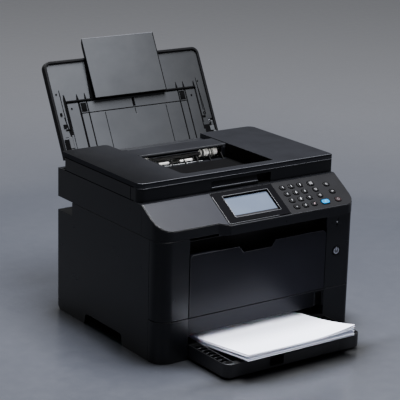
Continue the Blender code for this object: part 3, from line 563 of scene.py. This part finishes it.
def wire(name, points, radius, look, body, place=MACHINE, slot=None):
    """Thin round bead or line along points of a frame."""
    curve = arrange(bpy.data.curves.new(name, "CURVE"), dimensions="3D", bevel_depth=radius,
                    bevel_resolution=1, use_fill_caps=True)
    spline = curve.splines.new("POLY")
    spline.points.add(len(points) - 1)
    for point, co in zip(spline.points, points):
        point.co = (*(place @ Vector(co)), 1)
    mesh = drawn_mesh(name, curve)
    with reshaped(mesh) as shape:
        bmesh.ops.remove_doubles(shape, verts=shape.verts, dist=1e-6)
    finish_piece(name, mesh, look, body, slot=slot)


def mark(name, text, x, up, rise, look, body):
    """Raised printed character, centred on a point of the panel."""
    letters = arrange(bpy.data.curves.new(name, "FONT"), body=text, size=0.0054, extrude=0.00004,
                      align_x="CENTER", align_y="CENTER", resolution_u=3)
    mesh = drawn_mesh(name, letters)
    mesh.transform(PANEL @ Matrix.Translation((x, up, rise)))
    finish_piece(name, mesh, look, body)


def screw_head(name, place, radius, look, body):
    """Domed screw head with a dark cross, painted shade of its cross recess, its axis along place's
    z.
    """
    dome = [(radius, 0), (radius, radius * 0.15), (radius * 0.85, radius * 0.38),
            (radius * 0.5, radius * 0.52), (radius * 0.12, radius * 0.56)]
    turned(name, dome, place, look, body, 16)
    arm, half = radius * 0.55, radius * 0.13
    cross = [(-arm, -half), (-half, -half), (-half, -arm), (half, -arm), (half, -half),
             (arm, -half), (arm, half), (half, half), (half, arm), (-half, arm), (-half, half),
             (-arm, half)]
    plate(name + "_cross", cross, (radius * 0.45, radius * 0.6), "slot_dark", body, place,
          slot=SLOTS.get(look, look))


# ---------------------------------------------------------------- details by area

# Heights above the panel's slope
PLATE_TOP = 0.0009
KEY_TOP = 0.0022


def key_box(node):
    """A key's extent across and up the panel."""
    corners = [PANEL.inverted() @ vertex.co for vertex in NODES[node].data.vertices]
    return [(min(c[i] for c in corners), max(c[i] for c in corners)) for i in (0, 1)]


def middle(key):
    return (sum(span) / 2 for span in key_box(key))


def on_key(name, key, outlines, rise, look, edge=0.0):
    """Plate drawn about the middle of a key's top."""
    x, up = middle(key)
    placed = [[(u + x, v + up) for u, v in outline] for outline in outlines]
    plate(name, placed, rise, look, key, PANEL, edge=edge)


def key_marks():
    """White figures on the number keys, simple signs on the others."""
    figures = {**dict(zip("0123456789", "0123456789")), "star": "*", "hash": "#"}
    inks = {"hash": "ink_rose", **dict.fromkeys("1358", "ink_bright")}
    for label, text in figures.items():
        x, up = middle("key_" + label)
        lift = -0.001 if label == "star" else 0
        mark("mark_" + label, text, x, up + lift, KEY_TOP + 0.00001,
             inks.get(label, "ink_white"), "key_" + label)

    bars = [rect((-0.003, 0.003), (row - 0.0005, row + 0.0005), 0.0003, 2)
            for row in (-0.0019, 0, 0.0019)]
    pause = [rect((side - 0.0005, side + 0.0005), (-0.0018, 0.0018))
             for side in (-0.001, 0.001)]
    sheet = [rect((-0.0019, 0.0013), (-0.002, 0.0016), 0.0003, 2),
             rect((-0.0013, 0.0007), (-0.0014, 0.001), 0.0002, 2)]
    arrow = [(-0.0024, 0), (-0.0006, 0.0018), (-0.0006, 0.0006), (0.0022, 0.0006),
             (0.0022, -0.0006), (-0.0006, -0.0006), (-0.0006, -0.0018)]
    diamond = [(-0.002, 0), (0, -0.0013), (0.002, 0), (0, 0.0013)]
    collar = [rect((-0.0089, 0.0089), (-0.0053, 0.0053), 0.005, 6),
              rect((-0.0075, 0.0075), (-0.004, 0.004), 0.0036, 6)]
    signs = {"menu_1": bars[:1], "menu_2": bars[1:2], "menu_3": bars[2:],
             "redial": [circle(0, 0, 0.0022), circle(0, 0, 0.0014)],
             "hold_1": pause[:1], "hold_3": pause[1:], "copy": sheet, "clear": [arrow],
             "stop": [circle(0, 0, 0.0024), circle(0, 0, 0.0016)], "start": [diamond]}
    inks = {"stop": "ink_faint", "start": "ink_cyan"}
    for sign, outlines in signs.items():
        on_key("mark_" + sign, "key_" + sign.split("_")[0], outlines,
               (KEY_TOP - 0.00005, KEY_TOP + 0.00008), inks.get(sign, "ink_dim"))
    on_key("start_collar", "key_start", collar, (KEY_TOP - 0.0012, KEY_TOP + 0.00005),
           "start_rim", edge=0.0002)


def key_seats():
    """A dished collar around every key, so that it sits in a soft hollow of the plate."""
    gap, wall = 0.0007, 0.0006
    for node in [name for name in NODES if name.startswith("key_")]:
        x, up = key_box(node)
        round_end = (up[1] - up[0]) / 2 + gap
        rings = [rect((x[0] - gap - wall, x[1] + gap + wall),
                      (up[0] - gap - wall, up[1] + gap + wall), round_end + 0.0003, 6),
                 rect((x[0] - gap, x[1] + gap), (up[0] - gap, up[1] + gap), round_end - 0.0004, 6)]
        plate("seat_" + node, rings, (PLATE_TOP - 0.0004, PLATE_TOP + 0.00025), "key_black",
              "case", PANEL, edge=0.0001)


def screen():
    """Lit picture area and its border, a raised light frame round it as painted highlight, painted
    highlight lines along the bezel's left and bottom edges, and painted shade in the gap beside the
    bezel.
    """
    plate("screen_image", rect((-0.0433, 0.0423), (0.0135, 0.0514), 0.0004, 2),
          (-0.00302, -0.0024), "screen", "case", PANEL)
    border = [rect((-0.0481, 0.0442), (0.0057, 0.0535), 0.0004, 2),
              rect((-0.0434, 0.0424), (0.0134, 0.0515), 0.0004, 2)]
    plate("screen_border", border, (-0.00302, -0.0026), "screen_border", "case", PANEL)
    # Painted highlight: light frame along the edge of the screen's window
    window = [rect((-0.0482, 0.0443), (0.0056, 0.0536), 0.0016),
              rect((-0.0472, 0.0433), (0.0066, 0.0526), 0.001)]
    plate("screen_frame", window, (0.0012, 0.0018), "rim", "case", PANEL, edge=0.0002)
    # Painted highlight lines along the bezel's left and bottom edges
    outline = [(-0.066, 0.056), (-0.066, -0.0054), (0.033, -0.0054), (0.033, -0.0046),
               (-0.0652, -0.0046), (-0.0652, 0.056)]
    plate("bezel_outline", outline, (0.0008, 0.0017), "rim", "case", PANEL, edge=0.0002)
    # Painted shade in the gap beside the bezel
    plate("bezel_gap", rect((-0.0674, -0.0661), (-0.004, 0.062)), (0.0006, 0.0011),
          "slot_dark", "case", PANEL, slot="panel_grey")


def power_symbol():
    """Broken ring with a stroke, on the lens of the power button."""
    low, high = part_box("power_button")
    centre = Vector(((low.x + high.x) / 2, low.y, (low.z + high.z) / 2 + 0.0004))
    place = Matrix.Translation(centre) @ Matrix.Rotation(pi / 2, 4, "X")
    ring = []
    for radius, order in ((0.0054, 1), (0.0042, -1)):
        arc = [(radius * sin(a), radius * cos(a))
               for a in (radians(35 + 290 * i / 20) for i in range(21))]
        ring += arc[::order]
    sunk, printed = -0.0001, 0.00008
    plate("power_lens", circle(0, 0, 0.006, 32), (sunk, printed / 2), "lens_grey",
          "power_button", place)
    plate("power_ring", ring, (sunk, printed), "symbol_grey", "power_button", place)
    plate("power_stroke", rect((-0.0007, 0.0007), (0.0008, 0.0062)), (sunk, printed),
          "symbol_grey", "power_button", place)


def stack_rise(y):
    """Underside of the paper: flat at the back, leaning on the cassette's front wall."""
    flat, start, slope, ease = 0.0062, 0.104, 0.1185, 0.03
    ahead = start - y
    if ahead < -ease:
        return flat
    if ahead < ease:
        return flat + slope * (ahead + ease) ** 2 / (4 * ease)
    return flat + slope * ahead


def sheet_mesh(name, low, thick, shift, turn, curl):
    """One sheet: a thin slab over the stack's line, moved and turned in its plane."""
    half, front, length = 0.1072, -0.1182, 0.277
    pivot = 0.02
    across, along = 18, 30
    mesh = bpy.data.meshes.new(name)
    with reshaped(mesh) as shape:
        grid = []
        for layer in (0, 1):
            rows = []
            for j in range(along + 1):
                v = j / along
                y = front + length * v
                near = max(0.0, 1 - v / 0.42)
                row = []
                for i in range(across + 1):
                    u = i / across
                    x = -half + 2 * half * u
                    right = max(0.0, (u - 0.55) / 0.45)
                    left = max(0.0, (0.35 - u) / 0.35)
                    z = stack_rise(y) + low + thick * layer
                    z += curl[1] * near ** 2 * right ** 2 + curl[0] * near ** 2 * left ** 2
                    spun_x = x * cos(turn) - (y - pivot) * sin(turn)
                    spun_y = (y - pivot) * cos(turn) + x * sin(turn) + pivot
                    point = Vector((spun_x + shift[0], spun_y + shift[1], z))
                    row.append(shape.verts.new(MACHINE @ point))
                rows.append(row)
            grid.append(rows)
        bottom, top = grid
        for j in range(along):
            for i in range(across):
                for r, order in ((bottom, -1), (top, 1)):
                    quad = (r[j][i], r[j][i + 1], r[j + 1][i + 1], r[j + 1][i])
                    shape.faces.new(quad[::order])
            for i, order in ((0, 1), (across, -1)):
                quad = (bottom[j][i], bottom[j + 1][i], top[j + 1][i], top[j][i])
                shape.faces.new(quad[::order])
        for i in range(across):
            for j, order in ((0, 1), (along, -1)):
                quad = (bottom[j][i], top[j][i], top[j][i + 1], bottom[j][i + 1])
                shape.faces.new(quad[::order])
        bmesh.ops.recalc_face_normals(shape, faces=shape.faces)
    return mesh


def paper_pile():
    """Loose sheets in small batches, each a little out of line, the top ones curled up."""
    draw = random.Random(SEED)
    batches, straight, pile = 11, 4, 0.0098
    thick = pile / batches
    for number in range(batches):
        lean = 1 - number / (batches - 1)
        shift = (draw.uniform(-0.0006, 0.0008) - 0.0006 * lean,
                 draw.uniform(-0.0008, 0.001) - 0.0003 * lean)
        turn = radians(draw.uniform(-0.15, 0.15))
        lift = max(0.0, (number - straight) / (batches - 1 - straight))
        curl = (0.001 * lift, 0.0085 * lift ** 1.6)
        name = "sheets_%02d" % number
        mesh = sheet_mesh(name, number * thick, thick * 0.82, shift, turn, curl)
        piece = finish_piece(name, mesh, "paper", "cassette")
        if number == batches - 1:
            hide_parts("paper_stack")


def slit(x, width, low, high):
    """Narrow slot that tapers to a point at its top."""
    half, point = width / 2, high - 0.01
    return [(x - half, low), (x + half, low), (x + half, point), (x + half * 0.2, high),
            (x - half * 0.2, high), (x - half, point)]


def support_rim():
    """Dark moulded rim that wraps the support's outer edge."""
    left, right, low, high = -0.164, 0.1616, -0.0134, 0.1614
    wide, corner = 0.0048, 0.0134

    def path(shift, radius):
        points = [(left + shift, low)]
        for start, cx in ((180, left + shift + radius), (90, right - shift - radius)):
            for step in range(9):
                angle = radians(start - 90 * step / 8)
                points.append((cx + radius * cos(angle),
                               high - shift - radius + radius * sin(angle)))
        return points + [(right - shift, low)]

    ring = path(0, corner) + path(wide, corner - wide)[::-1]
    plate("support_rim", ring, (-0.0083, 0.003), "rim_dark", "support", SUPPORT, edge=0.0009,
          steps=3)


def support_details():
    """Painted shade in the grooves, holes and pockets and along the arms, dark screws, catches and
    clips, and the extension's painted shadow, on the support's face.
    """
    # Near black painted shade for the grooves, slots, holes and pockets drawn with it
    dark = ("slot_dark", "support", SUPPORT)
    low = -0.013
    plates("groove_floor", [slit(*groove) for groove in (
        (-0.1124, 0.0039, low, 0.0984), (-0.0964, 0.0025, low, 0.0994),
        (0.0965, 0.0025, low, 0.0969), (0.1119, 0.0025, low, 0.0969),
        (-0.1371, 0.0029, 0.0421, 0.0989), (0.1343, 0.0029, 0.0061, 0.0979))],
        (-0.0056, -0.0004), *dark)
    plates("groove_lip", [slit(*seam) for seam in (
        (-0.1124, 0.005, low, 0.0984), (-0.0964, 0.0038, low, 0.0994),
        (0.0965, 0.0038, low, 0.0996), (0.1119, 0.0038, low, 0.0992),
        (0.135, 0.0036, 0.02, 0.098), (-0.1386, 0.005, 0.028, 0.1))], (-0.0004, 0.0005), *dark)
    lines = [[(x - wide / 4, up), (x + wide / 4, up),
              (foot_x + wide / 2, foot_up), (foot_x - wide / 2, foot_up)]
             for x, up, foot_x, foot_up, wide in (
                 (-0.1456, 0.108, -0.1446, 0.053, 0.0012), (-0.1462, 0.06, -0.1409, 0.024, 0.0024),
                 (0.1415, 0.102, 0.145, 0.0385, 0.0013), (0.001, 0.0625, 0.0046, 0.0512, 0.0012))]
    plates("arm_line", lines, (-0.0004, 0.0006), *dark)
    plate("deck_slot_floor", rect((-0.1359, 0.1359), (0.0838, 0.088)), (-0.0051, 0.0024), *dark)
    plates("deck_pocket", [rect((-0.1095, -0.0986), (0.0651, 0.0814)),
                           rect((0.0986, 0.1095), (0.0651, 0.0814)),
                           rect((-0.0044, 0.0007), (0.0651, 0.0809)),
                           rect((-0.1109, 0.1109), (0.0612, 0.0646))], (-0.0031, 0.0008), *dark)
    for number, (x, up) in enumerate(((-0.1287, 0.0734), (0.1233, 0.0717))):
        screw_head("support_screw_%d" % number, SUPPORT @ Matrix.Translation((x, up, 0.0014)),
                   0.0019, "slot_dark", "support")
    eyelets = [[circle(x, up, radius), circle(x, up, radius * 0.45)] for x, up, radius in (
        (-0.1517, 0.102, 0.0017), (0.1448, 0.097, 0.0013), (0.143, 0.036, 0.003))]
    plates("support_eyelet", eyelets, (-0.0006, 0.0006), *dark, edge=0.0002)
    catches = [rect((x - wide / 2, x + wide / 2), (up - tall / 2, up + tall / 2), 0.0006, 3)
               for x, up, wide, tall in (
                   (-0.1512, 0.0655, 0.004, 0.0058), (-0.1488, 0.044, 0.0062, 0.007),
                   (-0.144, 0.0375, 0.01, 0.0022), (0.14, 0.03, 0.0072, 0.0028))]
    plates("support_catch", catches, (-0.0005, 0.0012), *dark, edge=0.0003)
    plates("arm_bay", [rect((-0.157, -0.149), (-0.0125, 0.021), 0.002, 3),
                       rect((0.131, 0.15), (-0.0125, 0.014), 0.002, 3)], (-0.0004, 0.0004), *dark)
    for number, (x, up, body) in enumerate((((-0.1478, -0.1402), (0.004, 0.024), "lid"),
                                            ((0.147, 0.156), (0.002, 0.0105), "support"))):
        plate("arm_clip_%d" % number, rect(x, up, 0.001, 3), (0.0004, 0.0013), "clip_grey",
              body, SUPPORT, edge=0.0005)
    # Painted shadow that the extension casts on the support, wider towards its foot
    shadow_band = [(-0.0868, 0.0878), (-0.0799, 0.0878), (-0.0799, 0.156), (-0.0816, 0.156)]
    plate("extension_rail", shadow_band, (-0.0004, 0.0026), *dark)


def extension_details():
    """Side skirts, foot and right border of the sliding extension, near black as painted shade, and
    a painted glint along its top edge.
    """
    low, high = 0.0866, 0.1938
    side = [(low, 0.003), (low, 0.0092), (high, 0.0092), (high, 0.0082),
            (high - 0.006, 0.0044), (high - 0.014, 0.003)]
    # The side skirts are near black as painted shade
    for name, x in (("left", (-0.0811, -0.0799)), ("right", (0.0677, 0.0689))):
        plate("extension_skirt_" + name, side, x, "rim_dark", "extension", SUPPORT, axis="X",
              edge=0.0003)
    tray = ("extension", SUPPORT)
    # Painted glint along the extension's top edge
    plate("extension_top_edge", rect((-0.08, 0.0678), (0.1932, 0.1946), 0.0003, 2),
          (0.0086, 0.0097), "edge_glint", *tray, edge=0.0002, slot="support_grey")
    # Painted shade along the extension's right edge
    plate("extension_border", rect((0.0669, 0.0684), (0.0868, 0.194)), (0.0088, 0.0098),
          "slot_dark", *tray, edge=0.0002, slot="support_grey")
    # Painted shade on the extension's underside
    plate("extension_foot", rect((-0.0806, 0.0684), (0.0859, 0.0869)), (0.003, 0.0096),
          "rim_dark", *tray, edge=0.0003)


def feed_well():
    """Rollers, guide bars and wire in the document well of the lid, painted shade on the well's
    floor and walls, and a painted highlight along the lip at its back.
    """
    axis_y, axis_z = 0.2245, 0.269
    bore, steps = 0.003, 7
    for number, (low, high, radius) in enumerate(((-0.0841, -0.0729, 0.0068),
                                                  (0.0344, 0.0561, 0.0068),
                                                  (0.0569, 0.0686, 0.0064))):
        tyre = [(bore, low)]
        for step in range(steps + 1):
            swell = 0.0004 * sin(pi * step / steps)
            groove = 0.00035 if step % 2 else 0
            tyre.append((radius - 0.0004 + swell - groove, low + (high - low) * step / steps))
        tyre.append((bore, high))
        turned_at("feed_tyre_%d" % number, tyre, (0, axis_y, axis_z), (1, 0, 0), "roller_white",
                  "feed_roller", 28)
    plates("feed_pad", [rect(x, (0.2617, 0.2652), 0.001, 3)
                        for x in ((-0.059, -0.037), (-0.014, 0.011))],
           (0.2128, 0.2148), "roller_white", "lid", axis="Y", edge=0.0004)
    wire("feed_wire", [(-0.08, 0.2095, 0.2598), (-0.04, 0.2085, 0.26),
                       (0.004, 0.208, 0.2602), (0.03, 0.2095, 0.26)], 0.00045, "brass", "lid")
    for number in range(7):
        x = -0.086 + 0.0262 * number
        plate("feed_rib_%d" % number, [(0.205, 0.2586), (0.2146, 0.2586), (0.2146, 0.269)],
              (x, x + 0.0016), "dark_inner", "lid", axis="X", edge=0.0002)
    # Painted shade on the well's floor, side and back
    plate("well_floor", rect((-0.0996, 0.0816), (0.0794, 0.204), 0.001, 2),
          (0.2586, 0.2591), "slot_dark", "lid")
    plate("well_side", rect((0.0794, 0.214), (0.259, 0.2836)), (0.0814, 0.0818),
          "slot_dark", "lid", axis="X")
    upright("well_back", rect((-0.0996, 0.0816), (0.259, 0.262)), (0.2146, 0.2149),
            "slot_dark", "lid")
    # Painted highlight along the lip at the back of the well
    upright("strip_lip", rect((-0.0955, 0.0815), (0.2806, 0.2829), 0.0004, 2),
            (0.2146, 0.2155), "rim", "lid", edge=0.0003, slot="lid_charcoal")


def lid_details():
    """Finger pocket in painted shade, latch tab, painted highlights along the ledges, and painted
    shade in the seams and on the rear strip of the lid.
    """
    pocket = (0.0372, 0.0638)
    # Painted shade in the finger pocket
    plate("grip_floor", rect(pocket, (0.0632, 0.0726)), (0.254, 0.2548), "dark_inner",
          "lid", edge=0.0002)
    upright("grip_back", rect(pocket, (0.2542, 0.2702)), (0.0712, 0.0719), "dark_inner",
            "lid", edge=0.0002)
    # Painted highlights along the front edges of the top plate and of the lid base
    corner_x, front = -0.182, 0.0612
    for number, z in enumerate((0.2843, 0.2757)):
        arc = [pi / 2 * step / 8 for step in range(2, 8)]
        path = [(corner_x - 0.0125 * cos(a), 0.0739 - 0.0127 * sin(a), z) for a in arc]
        path += [(corner_x, front, z), (0.1944, front, z)]
        wire("lid_glint_%d" % number, path, 0.00045, "edge_glint", "lid")
    # Painted highlight on the finger pocket's lip
    upright("grip_lip", rect((-0.0565, 0.037), (0.2588, 0.2604), 0.0005, 2),
            (0.06, 0.0618), "edge_glint", "lid", edge=0.0004)
    # Painted shade in the seams on the lid's left side
    plates("lid_seam", [rect((0.0862, 0.0874), (0.2545, 0.2752)),
                        rect((0.078, 0.2925), (0.2531, 0.2545)),
                        rect((0.078, 0.2925), (0.2753, 0.2768))],
           (-0.19512, -0.1946), "slot_dark", "lid", axis="X")
    # Painted shade on the rear strip
    upright("rear_strip", rect((-0.101, 0.086), (0.254, 0.2758)), (0.2864, 0.2869),
            "slot_dark", "lid")
    tab = [(0.025, 0.2792), (0.06, 0.2792), (0.0615, 0.2808), (0.0615, 0.2838), (0.025, 0.2838)]
    upright("latch_tab", tab, (0.0616, 0.063), "lid_charcoal", "lid", edge=0.0004)


def panel_details():
    """Painted highlight lines round the left plate and along the keypad plate's front."""
    left, corner, steps = -0.1935, 0.025, 10
    slope = cos(PANEL_SLOPE)
    line = [(left, 0.0536 / slope, PLATE_TOP)]
    for step in range(steps + 1):
        angle = pi / 2 * step / steps
        line.append((left + corner * (1 - cos(angle)),
                     (0.0012 + corner * (1 - sin(angle))) / slope, PLATE_TOP))
    line += [(x, y / slope, PLATE_TOP)
             for x, y in ((-0.085, 0.0012), (-0.078, -0.0012), (-0.0672, -0.0046))]
    wire("left_plate_edge", line, 0.00035, "rim", "case", PANEL)
    front = [(x, y / slope, PLATE_TOP)
             for x, y in ((-0.064, -0.0066), (0.057, -0.0068), (0.1745, -0.0068))]
    wire("panel_front_edge", front, 0.0003, "rim", "case", PANEL)


def door_details():
    """Painted highlight along the door's edge, painted shade in the gaps beside it and painted
    highlight lines below it.
    """
    side, bottom, top, corner, steps = 0.1372, 0.0735, 0.1749, 0.008, 6
    dip = top - 0.011
    line = [(-side, bottom), (-side, top - corner)]
    for step in range(1, steps):
        angle = pi / 2 * step / steps
        line.append((-side + corner * (1 - cos(angle)), top - corner * (1 - sin(angle))))
    line += [(-side + corner, top), (-0.0425, top), (-0.0337, dip), (0.0239, dip), (0.0318, top),
             (side - corner, top)]
    proud = -0.0001
    # Painted highlight along the door's edge
    wire("door_glint", [(x, proud, z) for x, z in line], 0.0005, "door_edge", "door")
    # Painted shade in the gaps beside the door
    plates("door_gap", [rect(x, (0.0716, 0.178))
                        for x in ((-0.1393, -0.1379), (0.1379, 0.1393))],
           (-0.0002, 0.0004), "slot_dark", "case", axis="Y")
    # Painted highlight lines along the fascia's and skirt's top edges
    for name, low, high in (("fascia_glint", 0.01, 0.138), ("skirt_glint", 0.1392, 0.186)):
        wire(name, [(low, proud, 0.0699), (high, proud, 0.0699)], 0.0003, "door_edge", "case")


def seam_glints():
    """Painted highlight lines beside the upright seams of the left front corner."""
    low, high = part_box("left_front_column")
    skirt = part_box("left_front_skirt")[0]
    for name, x, y, foot, top in (
            ("column_glint", low.x + 0.0003, high.y - 0.0004, skirt.z + 0.004, high.z - 0.001),
            ("column_front_glint", high.x - 0.0004, low.y + 0.0001, low.z + 0.002, high.z - 0.004)):
        wire(name, [(x, y, foot), (x, y, top)], 0.0003, "door_edge", "case", Matrix.Identity(4))


def column_details():
    """Port cover and status light of the right column, and the ring round the power button."""
    upright("port_cover", rect((0.1586, 0.1634), (0.1789, 0.1911), 0.0008, 3),
            (0.0003, 0.003), "case_black", "case", edge=0.0003)
    # Painted shade in the port cover's groove
    upright("port_cover_grip", rect((0.1598, 0.1624), (0.1796, 0.1804)), (0.0001, 0.001),
            "slot_dark", "case")
    dome = [(0.0015, 0), (0.0015, 0.0003), (0.001, 0.0007), (0.0002, 0.0008)]
    turned_at("status_light", dome, (0.1613, 0.0006, 0.185), (0, -1, 0), "ink_bright", "case",
              14, "display")
    x, z = 0.1616, 0.134
    ring = [circle(x, z, 0.0104, 48), circle(x, z, 0.0093, 48)]
    upright("button_ring", ring, (0.0002, 0.0016), "rim_dark", "case", edge=0.0003,
            slot="case_black")


def fascia_ribs():
    """Upright ribs inside the open corner of the lower fascia, the first one light as a painted
    highlight.
    """
    for number in range(4):
        x = 0.12 + number * 0.004
        front, look = (0.0035, "dark_inner") if number else (0.001, "door_edge")
        upright("fascia_rib_%d" % number, rect((x, x + 0.0007), (0.0425, 0.0668)),
                (front, 0.0094), look, "case", edge=0.0002, slot="dark_inner")


def cassette_details():
    """Painted shade in the pockets and on the tops of the side rims, painted highlights on ribs and
    edges, painted shade in the front wall's notch, and its pad.
    """
    ribs, pitch = 7, 0.0112
    for side in (-1, 1):
        x = sorted((0.1196 * side, 0.1344 * side))
        for number in range(ribs):
            low = -0.087 + pitch * number
            # Painted shade on the floors of the rim pockets
            plate("rib_floor_%d_%d" % (side + 2, number),
                  rect(x, (low + 0.0001, low + 0.0084), 0.0006, 2), (0.0148, 0.0156),
                  "slot_dark", "cassette", edge=0.0001)
        edges = sorted((0.1195 * side, 0.1353 * side))
        rim = [rect(edges, (-0.096, -0.003), 0.001, 2)]
        rim += [rect((x[0] + 0.0001, x[1] - 0.0001),
                     (-0.0868 + pitch * number, -0.0788 + pitch * number), 0.0006, 2)
                for number in range(ribs)]
        # Painted shade on the tops of the side rims
        plate("rim_top_%d" % (side + 2), rim, (0.0253, 0.0258), "slot_dark", "cassette",
              slot="case_black")
    # Painted highlights on the ribs of the left rim
    left = -0.1345
    glints = [rect((left, left + 0.0062 - 0.0005 * (number % 3)),
                   (-0.0892 + pitch * number, -0.0885 + pitch * number))
              for number in range(ribs)]
    plates("rib_glint", glints, (0.0255, 0.026), "rim", "cassette", edge=0.0002, slot="case_black")
    # Painted highlight on the front left corner
    top = 0.0256
    wire("corner_glint", [(-0.1352, -0.093, top), (-0.1325, -0.0985, top),
                          (-0.1275, -0.1012, top), (-0.1215, -0.102, top)], 0.0005,
         "edge_glint", "cassette", slot="case_black")
    # Painted shade in the notch of the front wall
    upright("cassette_notch", rect((-0.052, -0.0262), (0.008, 0.0205), 0.0008, 2),
            (-0.1048, -0.1043), "slot_dark", "cassette")
    # Painted highlight along the inner ledge
    wire("ledge_glint", [(-0.1192, -0.01, top), (-0.1192, -0.086, top)], 0.0003, "rim",
         "cassette", slot="case_black")
    upright("cassette_pad", rect((-0.026, 0.086), (0.006, 0.022), 0.001, 3),
            (-0.1052, -0.104), "pad_black", "cassette", edge=0.0004)


def rear_details():
    """Rear access door with its grip, painted shade in the grip's recess, its ribs, and screws
    along the edges.
    """
    back = 0.3147
    upright("rear_access_door", rect((-0.118, 0.118), (0.03, 0.168), 0.004),
            (back + 0.0004, back + 0.003), "case_black", "case", edge=0.0008, steps=3)
    upright("rear_door_grip", [rect((-0.026, 0.026), (0.15, 0.163), 0.003),
                               rect((-0.023, 0.023), (0.153, 0.16), 0.002)],
            (back + 0.0028, back + 0.0042), "rim_dark", "case", edge=0.0004, slot="case_black")
    # Painted shade in the grip's recess
    upright("rear_door_recess", rect((-0.0231, 0.0231), (0.1529, 0.1601)),
            (back + 0.0028, back + 0.0032), "slot_dark", "case")
    heights = [0.044 + 0.01 * number for number in range(9)]
    plates("rear_door_rib", [rect((-0.09, 0.09), (z, z + 0.003), 0.0012, 3)
                             for z in heights],
           (back + 0.0026, back + 0.0038), "case_black", "case", axis="Y", edge=0.0004)
    flip = Matrix.Rotation(-pi / 2, 4, "X")
    for stem, points in (
            ("rear_screw", ((-0.176, 0.012), (0.176, 0.012), (-0.176, 0.17), (0.176, 0.17),
                            (-0.126, 0.012), (0.126, 0.012))),
            ("housing_screw", ((-0.176, 0.228), (0.176, 0.228)))):
        for number, (x, z) in enumerate(points):
            place = MACHINE @ Matrix.Translation((x, back, z)) @ flip
            screw_head("%s_%d" % (stem, number), place, 0.003, "steel", "case")


def feet():
    """Four rubber pads under the base plate."""
    pad = [(0.009, 0.0001), (0.0094, 0.0003), (0.0094, 0.0007), (0.005, 0.0008)]
    for number, (x, y) in enumerate(((-0.165, 0.05), (0.165, 0.05), (-0.165, 0.285),
                                     (0.165, 0.285))):
        turned_at("foot_%d" % number, pad, (x, y, 0), (0, 0, 1), "roller_rubber", "case", 28)


# ---------------------------------------------------------------- stage, lights, camera

def stage():
    mesh = bpy.data.meshes.new("floor")
    with reshaped(mesh) as shape:
        bmesh.ops.create_circle(shape, cap_ends=True, segments=64, radius=9)
    plain_floor("floor", (0.033, 0.037, 0.05), (0.32, 0.32, 0.335))
    mesh.materials.append(LOOKS["floor"])
    floor = add_object("floor", mesh)


def soft_light(name, place, target, size, power, colour, glossy=True):
    lamp = arrange(bpy.data.lights.new(name, "AREA"), shape="RECTANGLE", size=size[0],
                   size_y=size[1], energy=power, color=colour)
    aim = (Vector(target) - Vector(place)).to_track_quat("-Z", "Y").to_euler()
    arrange(add_object(name, lamp), location=place, rotation_euler=aim, visible_camera=False,
            visible_glossy=glossy)


def lights():
    """Studio lamps and a dim sky, and two small fills hidden in the paper slot and the well."""
    world = bpy.data.worlds.new("studio")
    bpy.context.scene.world = world
    world.use_nodes = True
    background = world.node_tree.nodes["Background"]
    background.inputs["Color"].default_value = (0.78, 0.8, 0.85, 1)
    background.inputs["Strength"].default_value = 0.2
    soft_light("key_light", (0.25, -0.05, 2.3), (0, -0.1, 0.1), (1.4, 1.1), 300, (0.97, 0.98, 1.0))
    soft_light("left_light", (-2.4, -0.9, 1.5), (0, 0, 0.2), (1.4, 1.4), 3, (0.93, 0.96, 1.0))
    soft_light("rear_light", (-0.5, 2.8, 1.4), (0, 0.1, 0.2), (1.4, 1.4), 8, (1.0, 0.99, 0.97))
    soft_light("slot_fill", (0, FRONT_Y + 0.007, 0.037), (0, FRONT_Y + 0.0071, 0),
               (0.22, 0.006), 0.03, (0.97, 0.98, 1.0), False)
    soft_light("well_fill", (0, FRONT_Y + 0.198, 0.283), (0, FRONT_Y + 0.2245, 0.269),
               (0.16, 0.012), 0.015, (1.0, 0.99, 0.95), False)


def camera():
    """Camera of the reference view: 35.4 degrees to the left of straight ahead, 16.2 above."""
    turn, climb, roll = radians(-35.4425), radians(16.2181), radians(1.5028)
    lens = arrange(bpy.data.cameras.new("camera"), sensor_width=36, lens=138.415, clip_start=0.05)
    thing = add_object("camera", lens)
    thing.matrix_world = (Matrix.Translation((-1.4553, -1.8729 + FRONT_Y, 0.9331))
                          @ Matrix.Rotation(turn, 4, "Z")
                          @ Matrix.Rotation(pi / 2 - climb, 4, "X")
                          @ Matrix.Rotation(roll, 4, "Z"))
    bpy.context.scene.camera = thing


camera()
stage()
lights()
dress_cad_nodes()
screen()
key_seats()
key_marks()
power_symbol()
panel_details()
door_details()
seam_glints()
column_details()
fascia_ribs()
lid_details()
feed_well()
support_rim()
support_details()
extension_details()
cassette_details()
rear_details()
feet()
paper_pile()
